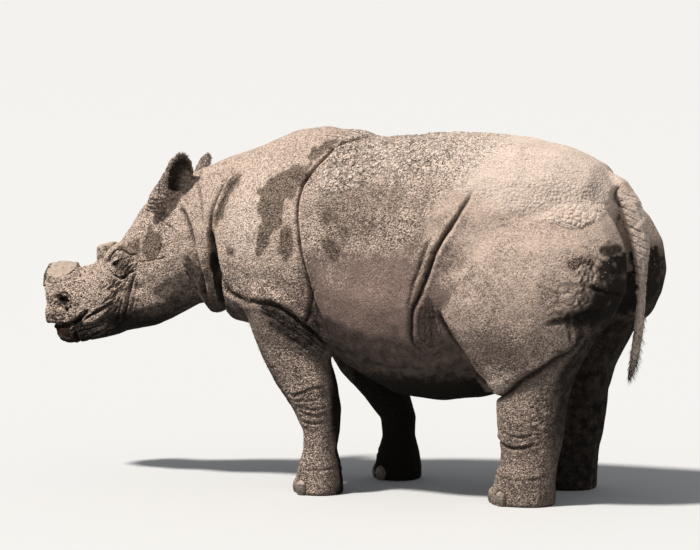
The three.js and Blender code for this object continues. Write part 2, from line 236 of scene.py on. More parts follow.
def inside_nearby(outline, margin, x, z):
    """The places near a closed outline, and how deep inside it they lie."""
    near = nearby(np.array(outline) / 1000, margin, x, z)
    return near, inside(outline, x[near], z[near])


def raise_to(field, near, values):
    """Raises a field to the values of some places, where it is lower."""
    field[near] = np.maximum(field[near], values)


def read_off(line, at):
    """The second number of a table's line where its first one is `at`, in metres."""
    return np.interp(at, *np.transpose(line) / 1000)


# ---------------------------------------------------------------------------- base skin


def values_of(items, name, size=1, kind=np.float32):
    """One kind of value of a mesh's items as an array, so many to a row."""
    found = np.empty(len(items) * size, kind)
    items.foreach_get(name, found)
    return found.reshape(-1, size)


def coordinates(mesh):
    return values_of(mesh.vertices, "co", 3)


def shape(mesh, co):
    """Moves a mesh's vertices to new places."""
    mesh.vertices.foreach_set("co", co.astype(np.float32).ravel())
    mesh.update()


def new_object(name, mesh):
    obj = bpy.data.objects.new(name, mesh)
    bpy.context.collection.objects.link(obj)
    return obj


def evaluated(obj):
    """The object's mesh with its modifiers applied; the object itself goes."""
    graph = bpy.context.evaluated_depsgraph_get()
    mesh = bpy.data.meshes.new_from_object(obj.evaluated_get(graph))
    bpy.data.objects.remove(obj)
    return mesh


def joined_flesh():
    """The CAD solids of the flesh in one mesh, in the frame."""
    places, faces, count = [], [], 0
    for node in FLESH:
        mesh = bpy.data.objects[node].data
        mesh.calc_loop_triangles()
        places.append(coordinates(mesh))
        faces.append(values_of(mesh.loop_triangles, "vertices", 3, np.int32) + count)
        count += len(places[-1])
    mesh = bpy.data.meshes.new("flesh")
    mesh.from_pydata(np.concatenate(places).tolist(), [], np.concatenate(faces).tolist())
    return mesh


def in_box(co, node, margin):
    """Which places lie in a node's box, widened by a margin."""
    low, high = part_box(node)
    return np.all((co > np.array(low) - margin) & (co < np.array(high) + margin), axis=1)


def smoothing_weights(co):
    """How strongly the facets are smoothed: most on the trunk, least on thin parts."""
    x, y, z = co[:, 0] - WITHERS, np.abs(co[:, 1]), co[:, 2]
    weight = np.full(len(co), 1.0)
    weight = np.where(z < 0.5, 0.25 + 0.75 * step(0.34, 0.5, z), weight)  # the legs
    weight *= 0.12 + 0.88 * step(-0.48, -0.3, x)  # the head
    lips = step(-0.9, -0.98, x) * step(0.6, 0.52, z)
    weight *= 1 - 0.6 * lips
    ear_foot = bell(np.hypot(x + 0.575, z - 0.955), 0.05)
    weight = np.maximum(weight, 0.5 * ear_foot)
    for side in SIDES:
        above_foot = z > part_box(f"ear_{side}")[0][2] + 0.05
        weight = np.where(in_box(co, f"ear_{side}", 0.012) & above_foot, 0.016, weight)
    tail = step(0.062, 0.045, y) * step(1.1, 1.13, x + 0.15 * step(0.7, 0.45, z))
    return weight * (1 - 0.97 * tail)


def voxelled(mesh, voxel):
    """The mesh drawn anew as a closed skin, with faces of about one size."""
    obj = new_object("remeshing", mesh)
    modifier = obj.modifiers.new("remesh", "REMESH")
    modifier.mode = "VOXEL"
    modifier.voxel_size = voxel
    return evaluated(obj)


WEIGHT_LEVELS = 50


def smooth(mesh, weights, times):
    """The mesh smoothed so many times, each vertex by its weight from 0 to 1."""
    obj = new_object("smoothing", mesh)
    group = obj.vertex_groups.new(name="weight")
    levels = np.round(weights * WEIGHT_LEVELS).astype(int)
    for level in np.unique(levels):
        chosen = np.nonzero(levels == level)[0].tolist()
        group.add(chosen, level / WEIGHT_LEVELS, "REPLACE")
    modifier = obj.modifiers.new("smooth", "SMOOTH")
    modifier.factor = 0.5
    modifier.iterations = times
    modifier.vertex_group = "weight"
    return evaluated(obj)


SKIN_VOXEL = 0.005
SMOOTHINGS = 130


def base_skin():
    """One smooth closed skin over the solids: facets and the cuts between the nodes go."""
    mesh = largest_part(voxelled(joined_flesh(), SKIN_VOXEL))
    weights = smoothing_weights(coordinates(mesh))
    once = coordinates(smooth(mesh.copy(), weights, SMOOTHINGS))
    twice = coordinates(smooth(mesh.copy(), weights, 2 * SMOOTHINGS))
    shape(mesh, 2 * once - twice)  # as smooth, and the legs and muzzle keep their girth
    return mesh


def labelled(mesh):
    """A number for each vertex, the same for all that are joined by edges."""
    a, b = values_of(mesh.edges, "vertices", 2, np.int32).T
    label = np.arange(len(mesh.vertices))
    while True:
        lowest = np.minimum(label[a], label[b])
        new = label.copy()
        np.minimum.at(new, a, lowest)
        np.minimum.at(new, b, lowest)
        new = new[new]
        if np.array_equal(new, label):
            return label
        label = new


def largest_part(mesh):
    """The mesh without its small loose pieces."""
    label = labelled(mesh)
    names, counts = np.unique(label, return_counts=True)
    loose = np.nonzero(label != names[counts.argmax()])[0]
    work = bmesh.new()
    work.from_mesh(mesh)
    work.verts.ensure_lookup_table()
    bmesh.ops.delete(work, geom=[work.verts[i] for i in loose], context="VERTS")
    work.to_mesh(mesh)
    work.free()
    return mesh


def refine(mesh, chosen):
    """Splits each edge between chosen vertices in two."""
    work = bmesh.new()
    work.from_mesh(mesh)
    edges = [e for e in work.edges if chosen[e.verts[0].index] and chosen[e.verts[1].index]]
    bmesh.ops.subdivide_edges(work, edges=edges, cuts=1, use_grid_fill=True)
    work.to_mesh(mesh)
    work.free()


def unwrap(mesh):
    """Gives the smooth skin its map for baking, before any wrinkle is in it."""
    obj = new_object("unwrapping", mesh)
    mesh.uv_layers.new(name="OFBake")
    bpy.context.view_layer.objects.active = obj
    obj.select_set(True)
    bpy.ops.object.mode_set(mode="EDIT")
    bpy.ops.mesh.select_all(action="SELECT")
    bpy.ops.uv.smart_project(angle_limit=1.15, island_margin=0.003)
    bpy.ops.object.mode_set(mode="OBJECT")
    bpy.data.objects.remove(obj)


# ------------------------------------------------------------------------------- folds

# name: (depth, half width, height of the roll on its left, on its right, line). The left of a
# line that runs down is towards the tail.
FOLDS = {
    "shoulder": (17, 5, 5, 5, [
        (232, 1262), (189, 1262), (159, 1253), (122, 1228), (86, 1183), (57, 1137), (40, 1097),
        (35, 1051), (35, 993), (46, 936), (61, 867), (78, 797), (94, 738), (107, 691), (122, 637),
        (138, 588), (142, 540)]),
    "rear_neck_high": (12, 6, 4, 5, [
        (-285, 1150, 0.3), (-308, 1100, 0.4), (-323, 1060, 0.5), (-333, 1020, 0.8), (-339, 980),
        (-338, 930), (-332, 886), (-327, 840)]),
    "rear_neck": (36, 14, 5, 10, [
        (-337, 950, 0.2), (-333, 900, 0.7), (-325, 840), (-318, 800), (-311, 760), (-308, 720),
        (-312, 680), (-330, 645), (-360, 625)]),
    "front_neck": (17, 10, 6, 3, [
        (-501, 1011), (-466, 981), (-440, 942), (-421, 897), (-405, 855), (-392, 812), (-383, 769),
        (-380, 723), (-386, 680), (-398, 650)]),
    "collar": (5, 7, 3, 2, [
        (-247, 1119), (-266, 1097), (-283, 1072), (-295, 1044), (-307, 1008), (-315, 966)]),
    "nape": (4, 8, 2, 2, [(-447, 1100), (-409, 1050), (-387, 998), (-370, 946)]),
    "breast": (10, 9, 4, 7, [
        (-298, 790), (-280, 745), (-262, 717), (-231, 699), (-196, 689), (-140, 678)]),
    "chest_edge": (20, 9, 11, 2, [
        (-185, 690, 0.4), (-125, 683, 0.7), (-70, 680), (-18, 662), (21, 636), (60, 600), (97, 560),
        (110, 515)]),
    "triceps_1": (5, 5, 3, 2, [
        (-130, 668), (-50, 648), (10, 612), (55, 576), (90, 538), (113, 497)]),
    "triceps_2": (4, 4.5, 2, 2, [
        (-130, 652), (-64, 635), (-5, 600), (47, 564), (85, 529), (109, 492)]),
    "triceps_3": (4, 4.5, 2, 2, [
        (-120, 625), (-77, 613), (-22, 580), (24, 549), (66, 521), (95, 488)]),
    "triceps_4": (4, 4.5, 2, 2, [(20, 668), (62, 623), (97, 583), (117, 541)]),
    "tail_root": (12, 8, 3, 2, [
        (1118, 1110, 0.5), (1111, 1090), (1112, 1060, 0.8), (1122, 1025, 0.4)]),
    "axilla": (12, 8, 3, 5, [(103, 750), (97, 715), (88, 682), (73, 648), (50, 618)]),
    "flank": (25, 8, 7, 4, [
        (680, 1115, 0.3), (671, 1099, 0.4), (644, 1042, 0.55), (615, 985, 0.7), (584, 934),
        (558, 882), (536, 824), (518, 772), (501, 725), (482, 684), (472, 630, 0.8),
        (468, 576, 0.6), (479, 540, 0.4), (503, 515, 0.3)]),
    "flank_roll": (6, 7, 2, 2, [
        (545, 940), (530, 910), (513, 858), (498, 812), (482, 765), (472, 719), (462, 670)]),
    "stifle": (20, 11, 8, 0, [
        (566, 690), (573, 655), (583, 628), (600, 595), (622, 558), (646, 520), (662, 470),
        (672, 430), (680, 390)]),
    "hem": (21, 9, 11, 0, [
        (675, 370, 0.6), (720, 376), (775, 388), (825, 420), (868, 453), (912, 481), (953, 508),
        (987, 531), (1024, 549), (1062, 587), (1091, 626)]),
    "buttock_mid": (2, 5, 1, 1, [(921, 786), (966, 775), (1010, 758), (1054, 770)]),
    "flank_fine_1": (4.5, 3.5, 2, 2, [(518, 714), (504, 666), (496, 619), (498, 565)]),
    "flank_fine_2": (4.5, 3.5, 2, 2, [(527, 720), (520, 667), (514, 613), (513, 553)]),
    "flank_fine_3": (4.5, 3.5, 2, 2, [(537, 726), (535, 673), (533, 613), (535, 559)]),
    "flank_fine_4": (4.5, 3.5, 2, 2, [(544, 720), (549, 667), (552, 620), (558, 572)]),
    "breast_low": (6, 5, 2, 3, [(-305, 713), (-301, 687), (-307, 655), (-295, 628)]),
    "jaw_nick": (5, 3.5, 2, 2, [(-456, 776), (-450, 759), (-443, 741)]),
    "cheek_ridge": (-4, 6, 0, 0, [(-767, 685), (-748, 700), (-727, 712), (-705, 728), (-688, 747)]),
    "hem_rise": (3, 7, 1, 1, [(1042, 700), (1039, 678), (1039, 631), (1028, 582)]),
    "buttock_low": (4, 7, 3, 2, [
        (940, 648), (975, 652), (1008, 658), (1052, 678), (1103, 697), (1150, 692)]),
    "buttock_high": (6, 8, 3, 3, [(1100, 782), (1124, 772), (1159, 757), (1190, 748)]),
    "eye_crack": (3, 3, 1, 1, [
        (-670, 797), (-649, 800), (-628, 802), (-606, 805), (-585, 812), (-563, 814), (-546, 822),
        (-528, 818)]),
    "temple_crack": (3, 3, 1, 1, [(-585, 812), (-567, 836), (-558, 855), (-552, 874)]),
    "cheek_1": (7, 4.5, 3, 6, [
        (-660, 762), (-670, 746), (-680, 729), (-690, 710), (-697, 684), (-703, 658), (-715, 627),
        (-734, 599), (-756, 569)]),
    "cheek_2": (5, 3.5, 2, 3, [
        (-701, 717), (-710, 694), (-716, 672), (-728, 646), (-748, 617), (-767, 589), (-781, 565)]),
    "cheek_3": (4, 3.5, 2, 2, [(-730, 679), (-742, 652), (-762, 624), (-782, 596), (-793, 572)]),
    "cheek_4": (3, 3.5, 2, 2, [
        (-655, 737), (-666, 707), (-674, 674), (-683, 644), (-697, 609), (-722, 578)]),
    "mouth_line": (12, 4.5, 4, 5, [
        (-765, 642), (-780, 637), (-795, 631), (-813, 622), (-831, 613), (-853, 601), (-876, 587),
        (-893, 576), (-908, 565)]),
    "lip_edge": (24, 7, 4, 3, [
        (-872, 612), (-891, 600), (-902, 588), (-918, 576), (-936, 564), (-962, 553), (-995, 547),
        (-1031, 543), (-1075, 542), (-1130, 543)]),
    "lower_lip_under": (7, 6, 6, 0, [
        (-915, 548), (-881, 552), (-860, 558), (-839, 565), (-817, 578), (-794, 593), (-775, 604)]),
    "chin_1": (4, 5, 2, 2, [(-930, 528), (-887, 538), (-855, 545), (-821, 558)]),
    "chin_2": (3, 4, 2, 2, [(-919, 513), (-887, 518), (-856, 525), (-821, 537)]),
    "chin_3": (4, 3.5, 2, 2, [(-904, 526), (-856, 544), (-804, 576), (-769, 608)]),
    "chin_4": (4, 4, 2, 2, [(-902, 506), (-848, 526), (-793, 559), (-750, 595)]),
    "chin_5": (3.5, 3.5, 2, 2, [(-847, 571), (-810, 595), (-780, 622)]),
    "chin_6": (4, 4, 2, 2, [(-846, 518), (-800, 539), (-756, 569), (-711, 609)]),
    "chin_notch": (12, 6, 3, 3, [(-944, 530), (-948, 510), (-953, 490), (-957, 470)]),
    "corner_1": (5, 4, 3, 3, [(-809, 651), (-788, 654), (-765, 668), (-746, 685)]),
    "corner_2": (4, 4, 2, 2, [(-815, 637), (-793, 642), (-771, 649), (-753, 663)]),
    "corner_3": (3.5, 3, 2, 2, [(-822, 630), (-800, 652), (-776, 672), (-757, 694)]),
    "corner_4": (3.5, 3, 2, 2, [(-790, 617), (-768, 632), (-748, 652), (-734, 674)]),
    "corner_5": (3, 3, 2, 2, [(-776, 607), (-757, 622), (-737, 642), (-722, 664)]),
    "below_eye_1": (4, 3.5, 2, 2, [(-807, 723), (-816, 712), (-825, 700)]),
    "below_eye_2": (5, 3.5, 2, 3, [(-762, 727), (-763, 716), (-777, 701), (-793, 691)]),
    "below_eye_3": (5, 3.5, 2, 3, [(-727, 723), (-744, 712), (-757, 700)]),
    "below_eye_4": (4, 3, 2, 2, [(-745, 732), (-755, 722), (-761, 713)]),
    "below_eye_5": (2.5, 3.5, 1, 1, [(-830, 689), (-807, 701), (-784, 710)]),
    "brow": (6, 4, 3, 5, [
        (-790, 790), (-782, 811), (-771, 826), (-756, 836), (-733, 839), (-709, 831), (-690, 823),
        (-668, 824), (-656, 836)]),
    "bag": (9, 4.5, 5, 4, [
        (-784, 772), (-766, 753), (-743, 741), (-722, 738), (-705, 748), (-688, 760), (-664, 769)]),
    "lid_back": (4, 3, 2, 2, [(-740, 806), (-725, 807), (-703, 812), (-674, 818)]),
    "lid_1": (3, 2.5, 2, 2, [(-729, 797), (-741, 782), (-756, 768)]),
    "lid_2": (4, 3, 2, 3, [(-711, 797), (-725, 780), (-741, 760)]),
    "lid_3": (6, 3.5, 3, 3, [(-693, 800), (-705, 783), (-720, 766)]),
    "lid_4": (5, 3.5, 2, 3, [(-675, 791), (-690, 776), (-705, 759)]),
    "lid_5": (4, 3, 2, 2, [(-656, 796), (-671, 781), (-684, 767)]),
    "ear_1": (2.2, 3, 1, 1, [(-640, 1045), (-615, 1034), (-580, 1028), (-530, 1033)]),
    "ear_2": (2.6, 3, 1, 1, [(-650, 1030), (-620, 1019), (-584, 1012), (-535, 1016)]),
    "ear_3": (2.6, 3, 1, 1, [(-655, 1014), (-620, 1003), (-577, 995), (-530, 997)]),
    "ear_4": (3, 3, 1, 1, [(-660, 1000), (-620, 986), (-577, 976), (-539, 973), (-510, 977)]),
    "ear_5": (4, 4, 2, 2, [
        (-648, 989), (-604, 971), (-563, 953), (-524, 935), (-490, 914), (-462, 886)]),
    "nostril_rim": (3.5, 5, 2, 2, [
        (-1015, 648), (-1002, 663), (-986, 669), (-967, 665), (-951, 655), (-948, 639), (-955, 622),
        (-968, 610), (-985, 605)]),
    "front_horn_foot": (5, 5, 3, 2, [
        (-955, 775), (-947, 757), (-945, 742), (-961, 728), (-986, 716), (-1011, 709), (-1039, 705),
        (-1075, 708)]),
    "rear_horn_foot": (5, 4, 2, 3, [
        (-812, 860), (-826, 839), (-839, 824), (-853, 811), (-873, 797), (-900, 790)]),
    "muzzle_crease": (3, 4, 2, 2, [(-995, 699), (-975, 714), (-953, 723), (-928, 738)]),
}

# The same for the legs; the right ones are drawn where the right leg stands.
FORELEG_FOLDS = {
    "knee": (4.5, 4.5, 4, 2, [(-20, 360), (10, 357), (50, 372), (80, 384), (120, 388)]),
    "wrist_1": (2.5, 4, 2, 2, [(0, 330), (35, 337), (72, 339), (102, 346)]),
    "wrist_2": (3.5, 4, 2, 2, [(10, 318), (41, 311), (79, 306), (125, 316)]),
    "wrist_3": (3.5, 4, 2, 2, [(20, 300), (48, 288), (86, 281), (125, 294)]),
    "wrist_4": (3, 4, 2, 2, [(20, 265), (45, 259), (80, 256), (118, 266)]),
    "ankle": (2.5, 5, 2, 2, [(-10, 104), (70, 88), (160, 102)]),
}
HINDLEG_FOLDS = {
    "hock_1": (6, 5, 6, 3, [
        (720, 242), (750, 230), (790, 213), (830, 206), (870, 212), (900, 228)]),
    "hock_2": (2.5, 5, 2, 2, [(822, 325), (862, 300), (900, 300)]),
    "hock_3": (3, 4.5, 2, 2, [(780, 262), (810, 247), (850, 243), (890, 255)]),
    "pastern": (2.5, 5, 2, 2, [(720, 112), (800, 95), (900, 100), (950, 120)]),
}

REACH = 6  # how far out, in half widths, a fold reaches
WANDER = 0.003  # how far a fold sways about its line
TAPER = 0.14  # the share of its length over which a fold rises at each end
RAGGED = 0.35  # how uneven the edge of a pit is


class Skin:
    """The skin's vertices in the animal's own coordinates, with the fields drawn on them."""

    def __init__(self, mesh):
        self.mesh = mesh
        self.read()
        self.crease, self.pit, self.lift = np.zeros((3, len(self.co)))

    def read(self):
        self.co = coordinates(self.mesh).astype(float)
        self.no = values_of(self.mesh.vertices, "normal", 3).astype(float)
        self.x = self.co[:, 0] - WITHERS
        self.y = self.co[:, 1]
        self.z = self.co[:, 2]
        self.place = np.stack([self.x, self.y, self.z], axis=1)
        self.outward = self.no[:, 1] * np.sign(self.y)

    def settle(self):
        """Moves the skin along its normals by what was drawn so far."""
        shape(self.mesh, self.co + self.no * self.lift[:, None])
        self.read()
        self.lift[:] = 0

    def fold(self, depth, width, left, right, line, shift=0.0):
        """Draws a fold on both sides, with painted shade along its crease; shift moves it back on
        the right side.
        """
        line = curved(line)
        for side in SIDES.values():
            x = self.x - (shift if side > 0 else 0)
            near = nearby(line, width / 1000 * REACH + WANDER, x, self.z)
            near = near[(self.y[near] * side > 0) & (self.no[near, 1] * side > -0.35)]
            p = self.place[near]
            wide, small = noise(p, 0.06, 5 + side), noise(p, 0.02, 9 + side)
            sway = WANDER * np.stack([wide + 0.5 * small, wide - 0.5 * small])
            d, share, here = measure(line, x[near] + sway[0], self.z[near] + sway[1])
            d = d * 1000 / width
            ends = step(0, TAPER, share) * step(1, 1 - TAPER, share) * here
            rolls = np.where(d > 0, left, right) * np.abs(d) / 2 * np.exp(0.5 - d * d / 8)
            depths = depth * (0.85 + 0.3 * noise(p, 0.05, 17))
            self.lift[near] += (rolls - depths * bell(d, 1)) * ends / 1000
            raise_to(self.crease, near, bell(d, 0.8) * np.minimum(1, ends * depth / 7))

    def dent(self, x, z, width, depth):
        """A pit with a ragged edge, painted dark as shade, on both sides; its numbers are a
        table's.
        """
        x, z, depth = metres(x, z, depth)
        away = np.hypot(self.x - x, self.z - z) * 1000 / width
        near = np.nonzero((away < 3) & (np.abs(self.no[:, 1]) > 0.1))[0]
        away = away[near] * (1 + RAGGED * noise(self.place[near], width / 1200, 41))
        well = np.exp(-(away**2) * 1.4)
        self.lift[near] -= depth * well
        raise_to(self.pit, near, step(0.35, 0.75, well))


# Broad forms on the outer side: (x, z, radius along, radius across, turn, height)
LUMPS = [
    (-60, 950, 170, 260, -12, 10),  # shoulder blade
    (-235, 660, 50, 50, 0, 14),  # breast
    (300, 660, 200, 140, 0, 6),  # ribs
    (930, 830, 160, 200, 0, 6),  # thigh
    (530, 800, 35, 100, 12, -10),  # hollow before the thigh
    (535, 630, 30, 70, 5, -14),
    (600, 500, 50, 100, 25, -16),
    (0, 600, 110, 35, -32, -10),  # hollow below the shoulder
    (800, 290, 70, 80, 0, 6),  # hock
    (760, 405, 50, 35, 15, 12),  # tip of the thigh's flap
    (-600, 700, 100, 100, 0, 5),  # jaw muscle
    (-372, 820, 22, 200, -2, 8),  # neck roll
    (-735, 822, 28, 14, -8, 6),  # upper lid
    (-735, 757, 28, 14, 10, 6),  # bag below the eye
    (-700, 785, 30, 20, 0, 4),
    (-978, 638, 30, 26, 0, -10),  # nostril
    (-985, 628, 11, 13, 0, 7),
    (-940, 650, 20, 30, 0, 4),
    (-850, 580, 58, 17, 24, 12),  # lower lip
    (-790, 665, 40, 20, 30, 4),  # corner of the mouth
]

# Pits in the mud of the face, each painted dark as shade: (x, z, half width, depth)
PITS = [
    (-1000, 648, 7, 8), (-984, 642, 8, 9), (-968, 640, 7, 8), (-958, 654, 4, 4), (-972, 668, 4, 4),
    (-950, 668, 4, 4), (-957, 619, 5, 5), (-972, 607, 6, 6), (-990, 612, 4, 3), (-1012, 634, 4, 4),
    (-993, 660, 5, 5), (-981, 628, 5, 6), (-976, 655, 5, 6), (-1007, 655, 4, 4), (-968, 627, 4, 5),
    (-902, 674, 4, 5), (-909, 660, 5, 6), (-899, 655, 4, 4), (-862, 664, 4, 4), (-838, 728, 4, 3),
    (-824, 752, 4, 4), (-890, 628, 3, 3), (-825, 671, 4, 3), (-937, 625, 3, 3), (-962, 583, 4, 4),
    (-1003, 558, 4, 4), (-844, 801, 5, 5), (-858, 788, 4, 4), (-830, 818, 4, 4), (-722, 742, 5, 5),
    (-712, 748, 4, 4), (-930, 735, 5, 5), (-945, 722, 4, 4), (-918, 752, 4, 4), (-958, 742, 4, 4),
    (-1050, 600, 4, 4), (-1060, 660, 5, 4), (-1075, 620, 4, 4), (-1080, 690, 5, 5)]


def oval(skin, x, z, along, across, turn):
    """1 at the middle of a turned oval, and less further out; its numbers are a table's."""
    x, z, along, across = metres(x, z, along, across)
    a, b = aligned(skin.x - x, skin.z - z, turn)
    return np.exp(-((a / along) ** 2 + (b / across) ** 2))


def draw_lumps(skin):
    for *place, height in LUMPS:
        skin.lift += height / 1000 * oval(skin, *place) * step(-0.1, 0.4, skin.outward)


# The slit between the lids climbs towards the tail by EYE_TURN degrees.
EYE_TURN = 31
SLIT_HALF_LENGTH = 0.018
SLIT_HALF_HEIGHT = 0.0052
LID_OVER_BALL = 0.0045
SLIT_BEHIND_BALL = 0.005


def lid_height(ball, away, beyond):
    """How far from the middle of an eyeball the skin stands: in front of it outside the slit,
    inside it where the slit is open."""
    lid = np.sqrt(np.clip((ball + LID_OVER_BALL) ** 2 - away**2, 1e-8, None))
    behind = np.sqrt(np.clip((ball - SLIT_BEHIND_BALL) ** 2 - away**2, 0, None)) - 0.001
    return lid + (behind - lid) * step(0.0009, -0.0009, beyond)


def draw_lids(skin):
    """Fits the skin to the eyeballs: lids over them, and an open slit between the lids."""
    for word, side in SIDES.items():
        low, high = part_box(f"eye_{word}")
        middle = centre(f"eye_{word}")
        out = abs(middle[1])
        dx, dz = skin.x - (middle[0] - WITHERS), skin.z - middle[2]
        away = np.hypot(dx, dz)
        near = np.nonzero((away < 0.045) & (skin.y * side > 0.04))[0]
        away = away[near]
        u, v = aligned(dx[near], dz[near], EYE_TURN)
        v = v + 0.001 + 0.0012 * noise(skin.place[near], 0.008, 61)
        room = np.clip(1 - (u / SLIT_HALF_LENGTH) ** 2, 0, 1)
        beyond = np.abs(v) - SLIT_HALF_HEIGHT * room  # outside the slit
        opened = (room > 0) * step(0.001, -0.001, beyond)
        lids = lid_height((high[2] - low[2]) / 2, away, beyond)
        face = skin.y[near] * side - out - 0.004
        wanted = side * (out + np.where(opened > 0.3, lids, np.maximum(lids, face)))
        skin.co[near, 1] += (wanted - skin.co[near, 1]) * step(0.030, 0.014, away)
        # Painted shade along the edges of the slit, and in the open slit.
        raise_to(skin.crease, near, bell(beyond, 0.0034) * (np.abs(u) < 0.023))
        raise_to(skin.pit, near, opened)
    shape(skin.mesh, skin.co)
    skin.read()


# The foot of the left ear, and how far from it the middle of the ear's cup lies.
EAR_FOOT = (-0.536, -0.098, 0.988)
EAR_MIDDLE = 0.026
# The degrees by which each ear leans out and back and by which its opening is turned back.
EARS = {"left": (14, 14, 42), "right": (32, 1, 66)}


def turned(points, axis, degrees):
    """Points turned about an axis."""
    i, j = (axis + 1) % 3, (axis + 2) % 3
    out = points.copy()
    out[:, i], out[:, j] = aligned(points[:, i], points[:, j], -degrees)
    return out


def ear_axes(skin, word):
    """The skin's places and normals as seen from the foot of an ear that stands upright and
    opens towards -Y."""
    out, back, face = EARS[word]
    mirror = [1, -SIDES[word], 1]
    found = []
    for values in (skin.place * mirror - EAR_FOOT, skin.no * mirror):
        for axis, degrees in ((1, -back), (0, -out), (2, -face)):
            values = turned(values, axis, degrees)
        found.append(values)
    return found


def draw_ears(skin):
    """Marks the ears' hollows with painted shade, keeps pale mud as painted light where light falls
    into them, and gives their rims a worn, uneven edge.
    """
    skin.inner, skin.rim, skin.ears = np.zeros((3, len(skin.x)))
    rough = 0.0022 * noise(skin.place, 0.011, 71) + 0.0014 * noise(skin.place, 0.006, 72)
    for word in SIDES:
        above_foot = skin.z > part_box(f"ear_{word}")[0][2] + 0.03
        near = in_box(skin.co, f"ear_{word}", 0.02) & above_foot
        place, normal = ear_axes(skin, word)
        x, y, up = place[:, 0], place[:, 1] + EAR_MIDDLE, place[:, 2]
        reach = np.hypot(x, y) + 1e-6
        facing = (normal[:, 0] * x + normal[:, 1] * y) / reach
        hollow = step(0.15, -0.25, facing) * near * step(0.05, 0.08, up)
        lit = step(-0.015, 0.035, x) * step(0.2, 0.12, up)
        # Painted shade in the hollow, except where the light reaches; there the mud stays, as
        # painted light.
        skin.inner = np.maximum(skin.inner, hollow * (1 - lit))
        bare = step(0.05, 0.1, up) * near * (1 - 0.8 * lit * hollow)
        skin.ears = np.maximum(skin.ears, bare)
        edge = bell(facing - 0.1, 0.25) * step(0.1, 0.14, up) * near
        skin.rim = np.maximum(skin.rim, edge)
        skin.lift += rough * (step(0.07, 0.1, up) * near)
        skin.lift -= 0.004 * hollow * step(0.06, 0.03, reach)


# The tail's front edge: (z, x)
TAIL_FRONT = [(450, 1130), (700, 1160), (880, 1145), (970, 1115), (1050, 1090)]
TAIL_RING = 0.027  # from one ring to the next


def tail_share(skin):
    """1 on the hanging tail, 0 off it."""
    x, z = skin.x, skin.z
    front = read_off(TAIL_FRONT, z)
    return step(0.052, 0.044, np.abs(skin.y)) * step(front, front + 0.012, x) * step(1.1, 1.07, z)


def ringed(skin):
    """Rings round the upper tail, with painted shade in their grooves, and lumps of mud on it."""
    p = skin.place
    tail = tail_share(skin)
    wave = (skin.z + 0.4 * skin.x + 0.010 * noise(p, 0.05, 81)) / TAIL_RING
    groove = np.abs(wave - np.round(wave)) * 2
    upper = tail * step(0.6, 0.75, skin.z)
    upper = upper * step(-0.5, 0.3, noise(p * [1, 1, 0.7], 0.022, 83))
    skin.lift -= 0.0024 * upper * bell(groove, 0.22)
    skin.crease = np.maximum(skin.crease, 0.4 * upper * bell(groove, 0.16))
    skin.lift += 0.0022 * tail * layered(p, 0.016, 2, 82)


# Nets of fine creases, darkened with painted shade: (x, z, radius along x, radius along z, slant of
# the creases, size of a field between them, depth, how dark)
WRINKLES = [
    (-740, 700, 70, 100, 52, 13, 3.2, 0.7),  # cheek
    (-710, 780, 50, 45, 42, 8, 3.2, 0.95),  # round the eye
    (-800, 600, 100, 45, 20, 12, 2.4, 0.6),  # mouth
    (-700, 630, 50, 80, 65, 12, 2.0, 0.5),  # jaw
    (-600, 1000, 70, 60, -5, 12, 2.4, 0.6),  # foot of the ear
    (-400, 820, 40, 220, 86, 14, 1.5, 0.4),  # neck
    (530, 620, 40, 120, 86, 11, 4.5, 0.6),  # flank
    (60, 570, 100, 70, -38, 16, 3.0, 0.5),  # elbow
    (60, 330, 80, 120, 5, 20, 2.2, 0.3),  # wrist
    (840, 270, 100, 80, -12, 22, 1.5, 0.3),  # hock
    (920, 340, 50, 120, 30, 16, 4.5, 0.5),
    (-50, 420, 100, 100, 65, 20, 1.3, 0.3),  # forearm
    (1050, 700, 100, 120, 15, 18, 3.2, 0.5),  # buttock
    (700, 450, 70, 90, 60, 20, 2.2, 0.4),  # thigh
    (1080, 840, 60, 80, 70, 14, 3.0, 0.6),
]


STRETCH = 2.4  # how much longer the fields of a net are along its creases


def wrinkled(skin):
    """Fine wrinkles: a net of small creases, drawn out along the way each region folds, with
    painted shade in them.
    """
    for n, (x, z, wide, tall, slant, size, depth, dark) in enumerate(WRINKLES):
        x, z, wide, tall, size, depth = metres(x, z, wide, tall, size, depth)
        share = np.exp(-(((skin.x - x) / wide) ** 2 + ((skin.z - z) / tall) ** 2) ** 1.5)
        share *= step(0.0, 0.4, skin.outward)
        near = np.nonzero(share > 0.06)[0]
        p = skin.place[near]
        along, across = aligned(p[:, 0], p[:, 2], slant)
        across = across + 0.4 * size * noise(p, size * 2, n)
        drawn = np.stack([along / STRETCH, p[:, 1] * 0.5, across], axis=1)
        first, second, _ = cells(drawn, size, 90 + n)
        crack = step(0.22, 0.0, second - first) * share[near]
        skin.lift[near] -= depth * crack
        raise_to(skin.crease, near, dark * crack)


# The lower edge of the thick mud on the rump.
CRUST_EDGE = [
    (500, 1160), (620, 1090), (750, 1050), (860, 1035), (929, 1000), (970, 993), (1000, 983),
    (1045, 976), (1078, 986), (1107, 1006), (1140, 1060)]


def crust_of(skin):
    """Where dried mud lies thick: over the back and the top of the rump."""
    x, z = skin.x, skin.z
    rough = layered(skin.place, 0.08, 4, 31)
    crisp = step(0.14, 0.06, np.abs(x - 1.01))  # where the edge is sharp
    above = z - read_off(CRUST_EDGE, x) + 0.007 * noise(skin.place, 0.02, 33)
    above = above + 0.03 * rough * (1 - crisp)
    soft = 0.004 + 0.03 * (1 - crisp)
    rump = step(-soft, soft, above) * step(0.5, 0.62, x) * step(1.14, 1.1, x)
    low = 1.03 + 0.07 * step(0.15, 0.35, x)
    back = step(0.08, 0.13, x) * step(low, low + 0.06, z + 0.05 * rough)
    return np.maximum(rump, back)


